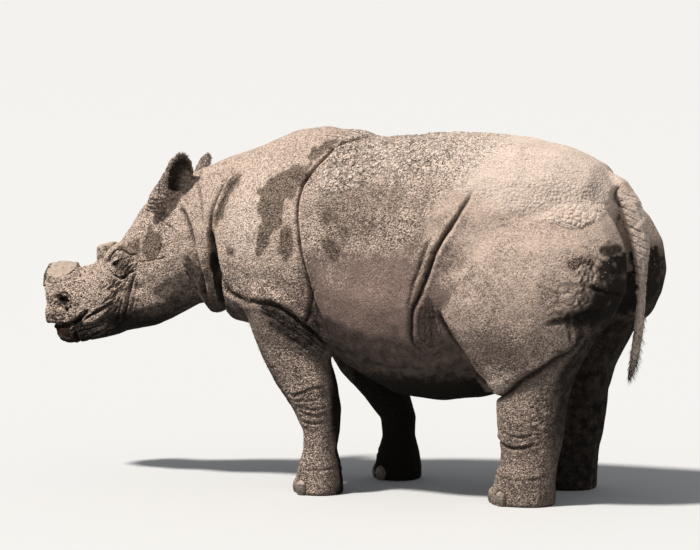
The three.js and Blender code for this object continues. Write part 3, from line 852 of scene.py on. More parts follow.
def pebbled(p, small, large):
    """Pebbles of mud of two sizes, each where its share says: (heights in mm, cracks)."""
    heights, cracks = [], []
    for size, share, tall in ((13, small, 3.8), (21, large, 8.5)):
        first, second, _ = cells(p, size / 1000, size)
        heights.append(share * tall * step(0.0, 0.28, second - first) * (1 - 0.6 * first))
        cracks.append(share * step(0.14, 0.02, second - first))
    return heights, cracks


def flaked(p, back):
    """Thin sheets of mud with broken edges, thicker on the back: heights in mm."""
    scales = layered(p, 0.03, 3, 12) + 0.5 * layered(p, 0.09, 2, 15)
    flakes = step(0.0, 0.1, scales) + 0.8 * step(0.3, 0.36, scales)
    thin = 1.2 * step(0.1, 0.2, scales) + 0.8 * noise(p, 0.04, 27) + 1.5
    return [back * (2.2 * flakes + 1.2 * noise(p, 0.011, 19)), (1 - back) * thin]


def plated(p, back, patchy):
    """Plates of mud of two sizes on the back, each at its own height: (heights in mm, cracks)."""
    heights, cracks = [], []
    bent = p + 0.008 * np.stack([noise(p, 0.02, n) for n in (44, 45, 46)], axis=1)
    for size, tall in ((36, 4.0), (17, 3.6)):
        first, second, value = cells(bent, size / 1000, size + 3)
        solid = step(0.0, 0.2, second - first) * back * step(-0.6, 0.1, patchy)
        heights.append(tall * (0.35 + 0.65 * value) * solid)
        cracks.append(back * step(0.2, 0.04, second - first) * step(0.7, 0.3, value))
    return heights, cracks


def crusted(skin):
    """Pebbles of mud on the rump, flakes and plates of it on the back, with painted shade in the
    cracks between them.
    """
    skin.crust = crust_of(skin)
    near = np.nonzero(skin.crust > 0.02)[0]
    p, x, z = skin.place[near], skin.x[near], skin.z[near]
    patchy = layered(p, 0.06, 2, 35)
    large = bell(x - 1.02, 0.09) * bell(z - 1.0, 0.055)
    small = bell(x - 0.93, 0.17) * bell(z - 1.08, 0.1) * (1 - large)
    small = np.maximum(small, 0.6 * step(0.0, 0.5, patchy)) * step(0.5, 0.66, x)
    back = step(0.7, 0.5, x + 0.1 * patchy)
    pebbles, gaps = pebbled(p, small, large)
    plates, cracks = plated(p, back, patchy)
    height = sum([*pebbles, *flaked(p, back), *plates, 2.5 * large])
    skin.lift[near] += height * skin.crust[near] / 1000
    skin.gaps = np.zeros(len(skin.x))
    skin.gaps[near] = np.maximum.reduce(gaps + cracks) * skin.crust[near]


def clodded(skin):
    """Separate clods of mud on the soaked buttock and on the tail."""
    p = skin.place
    soaked = bell(skin.x - 1.13, 0.1) * bell(skin.z - 0.85, 0.07) * step(0, 0.3, -skin.no[:, 1])
    share = np.maximum(soaked, 0.5 * tail_share(skin) * step(0.6, 0.8, skin.z))
    skin.clods = np.zeros(len(skin.x))
    near = np.nonzero(share > 0.1)[0]
    for size, tall, few in ((14, 3.0, 0.78), (8, 1.8, 0.82)):
        first, _, value = cells(p[near] * [1, 1, 1.2], size / 1000, size + 5)
        clod = step(0.5, 0.25, first) * step(few, few + 0.1, value) * step(0.1, 0.4, share[near])
        skin.lift[near] += tall / 1000 * clod * share[near]
        raise_to(skin.clods, near, clod)


def roughened(skin):
    """Lumps of mud everywhere, strongest on the muzzle, with painted shade in the muzzle's cracks.
    """
    p = skin.place
    head = step(-0.4, -0.5, skin.x)
    muzzle = step(-0.8, -0.92, skin.x)
    skin.lift += 0.0026 * layered(p, 0.07, 2, 21)
    skin.lift += (0.0007 + 0.0009 * head + 0.0016 * muzzle) * layered(p, 0.022, 3, 23)
    near = np.nonzero(muzzle > 0)[0]
    first, second, value = cells(p[near], 0.015, 29)
    crack = muzzle[near] * step(0.2, 0.0, second - first)
    skin.lift[near] += 0.0016 * muzzle[near] * value - 0.0022 * crack
    raise_to(skin.crease, near, 0.55 * crack * step(0.5, 0.2, value))


# ------------------------------------------------------------------------------- markings

# Places still wet or rubbed free of pale mud.
WET = {
    "temple": [
        (-606, 938), (-588, 922), (-563, 897), (-556, 861), (-577, 824), (-617, 808), (-645, 834),
        (-648, 866), (-633, 894), (-627, 929)],
    "behind_eye": [
        (-758, 848), (-720, 866), (-673, 882), (-645, 860), (-648, 822), (-690, 812), (-715, 826),
        (-745, 838)],
    "shoulder": [
        (-58, 1159), (-14, 1172), (30, 1162), (50, 1171), (48, 1120), (28, 1091), (-5, 1061),
        (-24, 1038), (-33, 991), (-20, 963), (-64, 929), (-81, 884), (-111, 845), (-129, 865),
        (-115, 930), (-100, 977), (-120, 1005), (-120, 1052), (-137, 1085), (-94, 1121)],
    "withers": [(30, 1235), (83, 1258), (120, 1250), (96, 1222), (63, 1190), (30, 1200)],
    "shoulder_rear": [(-26, 957), (10, 935), (17, 877), (-3, 841), (-30, 886)],
    "shoulder_spot": [(-267, 880), (-230, 877), (-221, 842), (-253, 840)],
    "neck": [
        (-281, 1124), (-247, 1120), (-262, 1073), (-282, 1026), (-299, 978), (-318, 942),
        (-328, 977), (-312, 1025), (-296, 1077)],
    "rump_spot": [(1034, 870), (1070, 872), (1078, 852), (1060, 838), (1036, 848)],
    "rib_spot_high": [(139, 1013), (154, 1018), (171, 1007), (171, 983), (159, 968), (142, 985)],
    "rib_spot_low": [
        (135, 916), (159, 927), (187, 914), (200, 890), (197, 862), (174, 851), (150, 875)],
    "rump_spot_rear": [(1084, 870), (1104, 870), (1106, 842), (1088, 840)],
}

# Where the buttock is soaked and almost black: wet mud, darkened further with painted shade.
SOAKED = [
    (1129, 873), (1160, 882), (1200, 885), (1220, 850), (1220, 730), (1180, 660), (1150, 645),
    (1100, 630), (1050, 635), (990, 650), (970, 665), (1003, 690), (1036, 702), (1068, 708),
    (1089, 722), (1104, 742), (1105, 769), (1102, 787), (1117, 800), (1131, 813), (1123, 837)]

# Where mud lies on the lower parts: (how thick, how soft its edge is, outline)
MUD = {
    "thigh_flap": (0.62, 30, [
        (566, 670), (590, 610), (615, 555), (640, 500), (655, 430), (670, 360), (780, 385),
        (870, 450), (950, 505), (1020, 550), (1080, 610), (1060, 700), (980, 800), (800, 850),
        (640, 800)]),
    "shank": (0.45, 50, [
        (700, 380), (780, 390), (900, 460), (990, 500), (970, 300), (950, 0), (680, 0),
        (700, 200)]),
    "forearm": (0.5, 40, [
        (-190, 600), (-50, 550), (80, 500), (130, 400), (140, 200), (150, 0), (-50, 0),
        (-30, 300)]),
    "breast": (0.6, 30, [
        (-300, 750), (-250, 720), (-200, 690), (-180, 660), (-240, 630), (-310, 660)]),
}

# Painted shade in hollows, folds and recesses, where shadow falls: (x, z, radius along, radius
# across, turn, how dark)
SHADE_PATCHES = [
    (0, 600, 150, 45, -34, 0.65),  # below the shoulder's edge
    (100, 600, 30, 100, 0, 0.6),  # elbow
    (-725, 778, 50, 30, 20, 0.45),  # round the eye
    (-753, 790, 28, 12, 31, 0.65),
    (-720, 742, 14, 8, 0, 0.8),
    (1150, 900, 30, 25, -20, 0.7),  # beside the tail
    (1040, 790, 40, 10, -4, 0.45),
    (1145, 925, 12, 12, 30, 0.5),
    (-983, 643, 27, 22, 20, 0.8),  # nostril
    (-972, 612, 10, 14, 30, 0.8),
    (-930, 560, 35, 20, 30, 0.9),  # corner below the upper lip
    (-1020, 535, 90, 12, 0, 0.9),
    (-318, 750, 26, 150, 2, 0.85),  # rear neck fold
    (-405, 730, 30, 130, 2, 0.6),
    (-435, 760, 30, 90, 8, 0.6),
    (510, 600, 50, 90, 3, 0.25),  # below the flank fold
]


def attribute(mesh, name, values):
    """Gives each vertex a named value from 0 to 1, which a material can read."""
    layer = mesh.attributes.new(name, "FLOAT", "POINT")
    layer.data.foreach_set("value", np.clip(values, 0, 1).astype(np.float32))


def wet_field(skin):
    """0.5 at the edge of a wet place, more inside it; 0 and 1 lie 20 mm off the edge."""
    field = np.full(len(skin.x), -1.0)
    for outline in WET.values():
        near, depth = inside_nearby(outline, 0.05, skin.x, skin.z)
        raise_to(field, near, depth)
    streaked = skin.place * [1, 1, 0.6]
    ragged = 0.022 * layered(streaked, 0.05, 3, 7) + 0.014 * layered(streaked, 0.014, 2, 8)
    return 0.5 + (field + ragged) / 0.04


def mud_field(skin):
    """How thick dry mud lies."""
    x, z, up = skin.x, skin.z, skin.no[:, 2]
    rough = layered(skin.place, 0.09, 3, 31)
    outer = step(-0.2, 0.3, skin.outward)
    mud = np.maximum.reduce([
        step(0.62, 1.18, z + 0.22 * rough + 0.2 * up),  # thicker higher up
        step(-0.28, -0.36, x) * step(0.5, 0.66, z + 0.12 * up + 0.04 * rough),  # head, neck
        0.95 * step(0.1, 0.0, x) * step(0.62, 0.86, z + 0.08 * rough),  # shoulder
        0.68 * step(0.6, 0.75, x) * step(0.6, 0.8, z + 0.08 * rough),  # thigh
        1.05 * tail_share(skin) * step(0.4, 0.6, z + 0.15 * rough),
    ])
    for thick, soft, outline in MUD.values():
        soft = soft / 1000
        near, depth = inside_nearby(outline, 0.1, x, z)
        edge = step(-soft / 3, soft, depth + 0.02 * rough[near])
        raise_to(mud, near, thick * outer[near] * edge)
    # less mud, and so a darker colour, on the lower middle of the thigh's flap
    mud -= 0.5 * bell(x - 0.76, 0.15) * bell(z - 0.55, 0.07) * outer
    mud -= 0.12 * step(0.35, 0.2, z)
    return np.maximum(mud, 0) * (1 - 0.8 * skin.ears)


def painted_body_shades(skin):
    """Painted shade where light doesn't reach: the belly, the inner sides of the legs, hide that
    faces back at the rear or faces down, under the chin and the jaw.
    """
    x, z = skin.x, skin.z
    on_side = step(-0.1, 0.2, skin.outward)
    flap = step(-0.01, 0.01, inside(MUD["thigh_flap"][2], x, z)) * on_side
    legs = np.maximum(inside(MUD["forearm"][2], x, z), inside(MUD["shank"][2], x, z))
    legs = step(-0.01, 0.02, legs) * on_side
    belly = step(0.02, 0.1, x) * step(0.8, 0.7, x) * step(0.56, 0.36, z)
    inward = step(0.1, -0.3, skin.outward) * step(0.75, 0.6, z)
    behind = step(0.25, 0.75, skin.no[:, 0]) * step(0.98, 0.8, z) * step(0.9, 1.0, x)
    down = step(0.1, -0.7, skin.no[:, 2])
    head = step(-0.42, -0.5, x)
    return [
        belly * (1 - flap) * (1 - legs),
        0.68 * inward,
        0.68 * behind * (1 - tail_share(skin)),
        0.55 * down * (1 - flap),
        head * step(0.6, 0.52, z) * step(0.98, 0.6, np.abs(skin.no[:, 1])),
        0.85 * head * step(0.69, 0.56, z) * step(-0.88, -0.76, x),
    ]


def soaked_and_painted_shades(skin, rough):
    """The soaked buttock, partly wet mud and partly painted shade, and painted shade on the hide
    between the thighs.
    """
    body = 1 - tail_share(skin)
    edge = 0.014 * rough + 0.012 * layered(skin.place, 0.014, 3, 51)
    soft = 0.014 + 0.03 * step(0.8, 0.68, skin.z)
    soaked = step(-1.0, 1.0, (inside(SOAKED, skin.x, skin.z) + edge) / soft) * body
    soaked = (0.9 - 0.35 * step(0.1, 0.6, rough)) * soaked * (1 - 0.8 * skin.clods)
    # painted shade between the thighs, behind the tail
    between = 0.6 * bell(skin.y, 0.12) * step(1.1, 1.02, skin.z) * step(1.1, 1.14, skin.x)
    return [soaked, between * body]


def painted_shade_patches(skin, rough):
    """The patches of painted shade, with ragged edges, finer on the head."""
    found = []
    head = step(-0.4, -0.45, skin.x)
    rough = rough + head * (layered(skin.place, 0.012, 3, 38) - rough)
    body = 1 - tail_share(skin)
    for *place, share in SHADE_PATCHES:
        patch = oval(skin, *place)
        found.append(share * step(0.2, 0.7, patch + 0.7 * rough * np.sqrt(patch)) * body)
    return found


def shade_field(skin):
    """How dark the hide is painted: painted shade, and the soaked buttock, partly wet mud and
    partly painted shade.
    """
    rough = layered(skin.place, 0.045, 5, 37)
    found = painted_body_shades(skin) + soaked_and_painted_shades(skin, rough) + painted_shade_patches(skin, rough)
    return np.maximum.reduce(found)


def grain_field(skin, wet):
    """How strongly the hide is speckled with grit: least where the mud is smooth, on the rump."""
    x, z = skin.x, skin.z
    trunk = step(0.0, 0.08, x) * step(0.95, 0.6, x)
    found = [
        0.2 + 0 * x,
        0.6 * step(0.2, 0.0, x) * step(0.45, 0.6, z),  # neck and shoulder
        1.0 * step(-0.42, -0.56, x),  # head
        1.0 * step(0.15, 0.05, x) * step(0.92, 0.76, z),  # breast and foreleg
        0.75 * trunk * step(0.8, 0.95, z + 0.3 * step(0.7, 0.4, x) - 0.3),
        0.45 * step(0.7, 0.58, z) * step(0.6, 0.68, x),  # lower thigh
        0.6 * step(0.42, 0.34, z),  # lower legs
        0.95 * step(0.42, 0.55, wet),
    ]
    return np.maximum.reduce(found) * (1 - 0.4 * skin.crust * step(0.6, 0.8, x))


def draw_markings(skin):
    """Names the skin's markings on its vertices."""
    x, z = skin.x, skin.z
    wet = wet_field(skin)
    mauve = bell(x - 0.36, 0.2) * bell(z - 0.74, 0.17)
    lips = 0.75 * bell(x + 1.005, 0.022) * bell(z - 0.523, 0.013)
    # Paler mud in front of the withers and on the tail, and a painted highlight on the tip of the
    # thigh's flap.
    pale = 0.8 * bell(x + 0.17, 0.08) * bell(z - 0.98, 0.17)
    pale = pale + 1.3 * bell(x - 0.765, 0.04) * bell(z - 0.45, 0.06) + tail_share(skin)
    markings = {
        "wet": wet,
        "mud": mud_field(skin),
        "shade": shade_field(skin),
        "ribs": bell(x - 0.27, 0.25) * bell(z - 1.02, 0.12) * step(0.03, 0.08, x),
        "mauve": mauve + 0.6 * bell(x - 0.14, 0.1) * bell(z - 0.7, 0.1),
        # painted shade in folds, wrinkles, grooves and cracks
        "crease": np.maximum(skin.crease, 0.5 * skin.gaps),
        "flaky": skin.crust * step(0.85, 0.35, x),
        # painted shade in pits, in the open slits between the lids and in the shaded hollows of the
        # ears
        "pit": np.maximum(skin.pit, 0.88 * skin.inner),
        "lips": lips * (1 + 0.8 * layered(skin.place, 0.012, 2, 39)),
        # the crust marking: thick mud, paler mud, and the painted highlight on the thigh flap's tip
        "crust": np.maximum(skin.crust, pale),
        "grain": grain_field(skin, wet),
    }
    for name, values in markings.items():
        attribute(skin.mesh, name, values)


# ------------------------------------------------------------------------------ materials

BARE = (0.215, 0.165, 0.138)  # hide without mud
DRY = (0.65, 0.50, 0.41)  # dry mud
CRUST = (0.76, 0.615, 0.52)  # thick mud
DAMP = (0.19, 0.142, 0.11)
MAUVE = (0.34, 0.235, 0.20)
SHADE = (0.012, 0.010, 0.008)
# near black, for painted shade in pits
PIT_SHADE = (0.022, 0.018, 0.015)
LIPS = (0.15, 0.052, 0.045)
HORN_DARK = (0.44, 0.345, 0.27)
HORN_PALE = (0.58, 0.46, 0.37)
HORN_PIT = (0.09, 0.07, 0.055)
NAIL_DARK = (0.12, 0.095, 0.075)
NAIL_PALE = (0.30, 0.245, 0.20)
HAIR_DARK = (0.035, 0.026, 0.02)
HAIR_PALE = (0.10, 0.075, 0.055)
EYEBALL = (0.02, 0.012, 0.008, 1)


def shaded(colour, share):
    return tuple(share * c for c in colour)


class Value:
    """A number that a material's nodes work out; +, - and * add a node to them."""

    def __init__(self, paint, socket):
        self.paint = paint
        self.socket = socket

    def calc(self, operation, a, b):
        return Value(self.paint, self.paint.put("Math", a, b, operation=operation).outputs[0])

    def __add__(self, other):
        return self.calc("ADD", self, other)

    def __sub__(self, other):
        return self.calc("SUBTRACT", self, other)

    def __rsub__(self, other):
        return self.calc("SUBTRACT", other, self)

    def __mul__(self, other):
        return self.calc("MULTIPLY", self, other)

    __rmul__ = __mul__

    def at_least(self, other):
        return self.calc("MAXIMUM", self, other)

    def ranged(self, low, high, to_low=0.0, to_high=1.0):
        """to_low at low and to_high at high, smooth between them."""
        node = self.paint.put("MapRange", self, low, high, to_low, to_high)
        node.interpolation_type = "SMOOTHSTEP"
        return Value(self.paint, node.outputs[0])


class Paint:
    """A new material, and the nodes that its look is made of."""

    def __init__(self, name):
        self.material = bpy.data.materials.new(name)
        self.material.use_nodes = True
        self.tree = self.material.node_tree
        self.shader = self.tree.nodes["Principled BSDF"]

    def connect(self, value, target):
        """Joins a node's output to an input, or sets the input to a number or a colour."""
        value = value.socket if isinstance(value, Value) else value
        if isinstance(value, bpy.types.NodeSocket):
            self.tree.links.new(value, target)
        else:
            target.default_value = value

    def put(self, kind, *inputs, **values):
        """A node: its inputs by place or by name; other names are settings of the node."""
        node = self.tree.nodes.new("ShaderNode" + kind)
        for target, value in zip(node.inputs, inputs):
            self.connect(value, target)
        for key, value in values.items():
            name = key.replace("_", " ").title()
            if name in node.inputs:
                self.connect(value, node.inputs[name])
            else:
                setattr(node, key, value)
        return node

    def where(self):
        """Places on the piece."""
        return self.put("TexCoord").outputs["Object"]

    def drawn_out(self, where, upright):
        """Places for a noise that is drawn out upright."""
        return self.put("Mapping", vector=where, scale=(1, 1, upright)).outputs[0]

    def warped(self, where, scale, by):
        """Places pushed about by a noise, so that cells laid on them have crooked edges."""
        push = self.put("TexNoise", vector=where, scale=scale, detail=3).outputs["Color"]
        return self.put("VectorMath", where, self.scaled(push, by), operation="ADD").outputs[0]

    def scaled(self, colour, by):
        return self.put("VectorMath", colour, operation="SCALE", scale=by).outputs[0]

    def field(self, name):
        """A marking of the mesh."""
        return Value(self, self.put("Attribute", attribute_name=name).outputs["Fac"])

    def noise(self, where, scale, detail=3, roughness=0.55):
        node = self.put("TexNoise", vector=where, scale=scale, detail=detail, roughness=roughness)
        return Value(self, node.outputs["Fac"])

    def cell(self, where, scale, feature="F1"):
        """The distance to the nearest of many strewn points, or to the edge of its cell."""
        node = self.put("TexVoronoi", feature=feature, vector=where, scale=scale)
        return Value(self, node.outputs["Distance"])

    def grains(self, where, scale):
        """A random number for each grain."""
        node = self.put("TexVoronoi", vector=where, scale=scale)
        return Value(self, self.put("SeparateColor", node.outputs["Color"]).outputs[0])

    def mix(self, share, a, b):
        """A colour from a (share 0) to b (share 1)."""
        node = self.put("Mix", data_type="RGBA")
        colours = [(*c, 1) if isinstance(c, tuple) else c for c in (a, b)]
        for place, value in zip((0, 6, 7), (share, *colours)):
            self.connect(value, node.inputs[place])
        return node.outputs[2]

    def finish(self, colour, roughness, height=None, strength=0.0, distance=0.0):
        """The material, from its colour, its roughness and its relief."""
        self.connect(colour, self.shader.inputs["Base Color"])
        self.shader.inputs["Roughness"].default_value = roughness
        if height is not None:
            bump = self.put("Bump", height=height, strength=strength, distance=distance)
            self.connect(bump.outputs[0], self.shader.inputs["Normal"])
        return self.material


class Hide(Paint):
    """The hide: mud, damp, specks, cracks and painted shades, laid over each other in that order. A
    layer keeps what later ones need."""

    def __init__(self):
        super().__init__("hide")
        self.place = self.where()
        self.blotch = self.noise(self.place, 34, 5, 0.6)
        self.uneven = self.blotch - 0.5
        self.patchy = self.noise(self.place, 26, 4, 0.6) - 0.5
        sandy = self.noise(self.place, 190, 2, 0.75).ranged(0.3, 0.7)
        self.grit = (sandy + self.grains(self.place, 230)) * 0.5
        self.gritty = self.grit - 0.5
        self.gritted = self.field("grain").ranged(0.1, 1.0, 0.22, 1.0)

    def mud(self):
        """Bare hide, and dry mud where it lies thick enough."""
        thick = self.field("mud") + 0.8 * self.uneven + 0.6 * self.gritty
        self.cover = thick.ranged(0.22, 0.8)
        broad = self.noise(self.place, 6, 4).ranged(0.35, 0.65)
        bare = self.mix(broad, BARE, shaded(BARE, 1.3))
        bare = self.mix(self.field("mauve"), bare, MAUVE)
        dry = self.mix(self.blotch.ranged(0.35, 0.65), shaded(DRY, 0.86), DRY)
        # thick mud, and the painted highlight on the thigh flap's tip, take the crust colour
        dry = self.mix(self.field("crust"), dry, CRUST)
        return self.mix(self.cover, bare, dry)

    def damp(self, colour):
        """Drops run down over the ribs, and places that are still wet."""
        ribs = self.field("ribs")
        drops = self.noise(self.drawn_out(self.place, 0.55), 17, 8, 0.72) - 0.5
        wetted = (ribs + 3.6 * drops + 0.8 * self.gritty).ranged(0.5, 0.95)
        colour = self.mix(wetted * ribs.ranged(0.02, 0.4) * 0.65, colour, DAMP)
        edge = self.field("wet") + 0.5 * self.uneven + 0.45 * self.gritty
        self.wet = edge.ranged(0.47, 0.57)
        return self.mix(self.wet * 0.9, colour, DAMP)

    def specks(self, colour):
        """Grit: an uneven tone, dark grains, and pale ones where the mud is dry."""
        tone = self.gritty * self.gritted * 2.7 + 0.35 * self.patchy + 1.0
        colour = self.scaled(colour, tone.at_least(0.25))
        level = self.grit + 0.4 * self.patchy
        dark = level.ranged(0.28, 0.1) * self.gritted
        colour = self.mix(dark, colour, shaded(DRY, 0.12))
        pale = level.ranged(0.7, 0.9) * (self.cover * (1.0 - self.wet))
        return self.mix(pale * 0.55, colour, shaded(CRUST, 1.1))

    def cracks(self, colour):
        """Plates of mud with gaps of darker bare hide, partly painted shade, and a net of fine
        cracks painted with shade.
        """
        crooked = self.warped(self.place, 40, 0.02)
        gaps = self.cell(crooked, 42, "DISTANCE_TO_EDGE").ranged(0.015, 0.1, 1.0, 0.0)
        self.gaps = gaps * self.field("flaky") * self.patchy.ranged(-0.12, 0.1)
        colour = self.mix(self.gaps * 0.75, colour, shaded(BARE, 0.5))
        line = self.cell(self.place, 75, "DISTANCE_TO_EDGE").ranged(0.0, 0.1, 1.0, 0.0)
        self.line = line * self.blotch.ranged(0.45, 0.6) * self.gritted
        return self.mix(self.line * 0.5, colour, SHADE)

    def shades(self, colour):
        """Painted shade where shadow falls and on the soaked buttock, painted shade in creases and
        pits, and the reddish lips.
        """
        under = self.field("shade") + 0.7 * self.uneven + 0.3 * self.gritty
        colour = self.mix(under.ranged(0.1, 0.85, 0.0, 0.97), colour, SHADE)
        colour = self.mix(self.field("crease") * 0.8, colour, SHADE)
        colour = self.mix(self.field("pit"), colour, PIT_SHADE)
        return self.mix(self.field("lips"), colour, LIPS)

    def relief(self):
        """Grain and crumbs, with the cracks sunk into them."""
        crumbs = 1.3 * self.cell(self.place, 170)
        height = self.noise(self.place, 150, 3, 0.65) - crumbs
        height = height * self.gritted.ranged(0.2, 1.0, 0.35, 1.3)
        return height - 0.5 * self.line - 1.2 * self.gaps


def hide_material():
    hide = Hide()
    colour = hide.mud()
    for layer in (hide.damp, hide.specks, hide.cracks, hide.shades):
        colour = layer(colour)
    hide.shader.inputs["Specular IOR Level"].default_value = 0.1
    return hide.finish(colour, 0.9, hide.relief(), 0.8, 0.004)


def horn_material():
    paint = Paint("horn")
    place = paint.where()
    blotch = paint.noise(place, 45, 5, 0.65)
    pits = (paint.cell(place, 95) + paint.field("rugged")).ranged(0.75, 1.15)
    colour = paint.mix(blotch.ranged(0.3, 0.7), HORN_DARK, HORN_PALE)
    colour = paint.mix(pits, colour, HORN_PIT)
    height = paint.noise(place, 170, 3, 0.6) - 0.8 * pits
    return paint.finish(colour, 0.85, height, 0.7, 0.004)


def nail_material():
    paint = Paint("nail")
    place = paint.where()
    streaks = paint.noise(paint.drawn_out(place, 0.15), 260)
    dirt = paint.noise(place, 90, 4, 0.65)
    muddy = paint.field("mud") + (dirt - 0.4)
    colour = paint.mix(streaks.ranged(0.3, 0.7), NAIL_DARK, NAIL_PALE)
    colour = paint.mix(muddy.ranged(0.2, 0.8), colour, shaded(DRY, 0.75))
    return paint.finish(colour, 0.6, streaks + 0.8 * dirt, 0.5, 0.002)


def hair_material():
    paint = Paint("hair")
    tone = paint.noise(paint.where(), 30).ranged(0.35, 0.65)
    colour = paint.mix(tone, HAIR_DARK, HAIR_PALE)
    colour = paint.mix(paint.field("mud"), colour, shaded(DRY, 0.8))
    return paint.finish(colour, 0.7)


# ------------------------------------------------------------------------------- assembly

FINE_FOLDS = ("shoulder", "rear_neck", "flank", "stifle", "hem", "breast", "chest_edge")
FINEST = 0.05  # how far round the eyes the mesh is finest


def near_folds(co):
    """Whether a vertex lies where the skin needs a finer mesh: on the head and the tail, by the
    folds, in the crust."""
    x, z = co[:, 0] - WITHERS, co[:, 2]
    found = x < -0.4  # the head
    for name in FINE_FOLDS:
        line = curved(FOLDS[name][-1], 3)
        near = nearby(line, 0.03, x, z)
        found[near] |= np.abs(measure(line, x[near], z[near])[0]) < 0.025
    found |= (x > 0.1) & (z > 1.08)
    found |= (x > 0.55) & (z > 0.97)
    tail = (x > 1.1) & (np.abs(co[:, 1]) < 0.06) & (z < 1.1)
    return found | tail


def clothe(obj, slot, look, *nodes):
    """Hands a piece to the frame: its material, its slot (not used), the CAD nodes it stands for.
    """
    mesh = obj.data
    mesh.materials.clear()
    mesh.materials.append(look)
    mesh.polygons.foreach_set("use_smooth", np.ones(len(mesh.polygons), bool))
    if nodes:
        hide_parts(*nodes)
    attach(obj, "root")


def fine_skin():
    """The skin before any relief is drawn: finer where that is needed, with its map."""
    mesh = base_skin()
    refine(mesh, near_folds(coordinates(mesh)))
    co = coordinates(mesh)
    refine(mesh, np.hypot(co[:, 0] - WITHERS - EYE[0], co[:, 2] - EYE[1]) < FINEST)
    head = step(-0.38, -0.44, coordinates(mesh)[:, 0] - WITHERS)
    mesh = smooth(mesh, head * 0.8, 6)
    unwrap(mesh)
    return mesh


def draw_folds(skin):
    tables = [(FOLDS, 0.0), (FORELEG_FOLDS, 0.85 * FORE_SHIFT), (HINDLEG_FOLDS, HIND_SHIFT)]
    for folds, shift in tables:
        for fold in folds.values():
            skin.fold(*fold, shift=shift)


def build_skin():
    skin = Skin(fine_skin())
    draw_lumps(skin)
    skin.settle()
    draw_folds(skin)
    ringed(skin)
    skin.settle()
    draw_lids(skin)
    draw_ears(skin)
    wrinkled(skin)
    crusted(skin)
    clodded(skin)
    roughened(skin)
    for pit in PITS:
        skin.dent(*pit)
    skin.lift *= 1 - step(0.02, 0.012, np.hypot(skin.x - EYE[0], skin.z - EYE[1]))
    skin.settle()
    draw_markings(skin)
    clothe(new_object("skin", skin.mesh), "hide", hide_material(), *FLESH)
    return skin


def map_of(mesh):
    """Each vertex's place on the map for baking."""
    corners = values_of(mesh.loops, "vertex_index", 1, np.int32)[:, 0]
    found = np.zeros((len(mesh.vertices), 2), np.float32)
    found[corners] = values_of(mesh.uv_layers["OFBake"].uv, "vector", 2)
    return found


PATCH = 0.0015  # half the size of a hair's patch on the map
OBLIQUE = (0.31, 0.52, 0.8)  # the way that a hair's first corner is square to
DROOP = 0.12  # how far a hair's tip sinks, for its length
AROUND = [(math.cos(math.radians(a)), math.sin(math.radians(a))) for a in (90, 210, 330)]
HAIR_CORNERS = 7
SIDE_FACES = [
    face for i, j in ((0, 1), (1, 2), (2, 0))
    for face in ((i, j, j + 3), (i, j + 3, i + 3), (i + 3, j + 3, 6))
]
HAIR_FACES = np.array([(2, 1, 0), *SIDE_FACES])


def hairs(name, roots, ways, lengths, thick, places, mud):
    """Thin tapering hairs as one mesh, bent a little towards the ground, three-sided, each
    with its own patch of the map."""
    ways = ways / np.linalg.norm(ways, axis=1)[:, None]
    across = np.cross(ways, OBLIQUE)
    across /= np.linalg.norm(across, axis=1)[:, None]
    other = np.cross(ways, across)
    corners, patches = [], []
    for along, girth, patch in ((-0.1, 1.0, 1.0), (0.5, 0.75, 0.6)):
        middle = roots + ways * (along * lengths)[:, None]
        for c, s in AROUND:
            corners.append(middle + thick / 2 * girth * (c * across + s * other))
            patches.append(places + PATCH * patch * np.array([c, s]))
    droop = np.outer(lengths, [0, 0, -DROOP])
    corners.append(roots + ways * lengths[:, None] + droop)
    patches.append(places)
    corners, patches = np.stack(corners, axis=1), np.stack(patches, axis=1)
    faces = HAIR_FACES + HAIR_CORNERS * np.arange(len(roots))[:, None, None]
    faces = faces.reshape(-1, 3)
    mesh = bpy.data.meshes.new(name)
    mesh.from_pydata(corners.reshape(-1, 3).tolist(), [], faces.tolist())
    layer = mesh.uv_layers.new(name="OFBake")
    layer.uv.foreach_set("vector", patches.reshape(-1, 2)[faces.ravel()].astype(np.float32).ravel())
    attribute(mesh, "mud", np.repeat(mud, HAIR_CORNERS))
    return mesh


# Hair: name: (how many, length from, to, thickness, how muddy, seed)
HAIRS = {
    "ear_hair": (800, 5, 12, 0.9, 0.9, 1),
    "tail_hair": (700, 9, 28, 1.0, 0.35, 2),
    "bristles": (9000, 9, 20, 0.8, 0.9, 3),
}
STRAY = 0.22  # how far hairs turn from their way
SCATTER = 0.0012  # how far their roots lie from a vertex


def hair_fields(skin):
    """For each kind of hair: where it grows, and which way, at each vertex of the skin."""
    x, z, flat = skin.x, skin.z, np.zeros(len(skin.x))
    sideways = np.abs(skin.no[:, 1])
    tail = tail_share(skin)
    along = np.stack([flat + 0.2, flat, flat - 1], axis=1)
    back = np.stack([flat + 1, flat, flat - 0.55], axis=1)
    back -= skin.no * np.sum(back * skin.no, axis=1)[:, None]
    low = step(0.56, 0.46, z)
    rear = step(-0.2, 0.5, skin.no[:, 0])
    clean = 1.15 - mud_field(skin)
    body = step(-0.3, -0.2, x) * step(1.05, 0.95, x) * step(0.4, 0.5, z) * sideways
    return {
        "ear_hair": (skin.rim, skin.no + [-0.2, 0, 0.7]),
        "tail_hair": (tail * (low + 0.5 * rear * step(0.95, 0.85, z)), along + 0.5 * skin.no),
        "bristles": (body * np.clip(clean, 0.05, 1) ** 2, back + 0.28 * skin.no),
    }


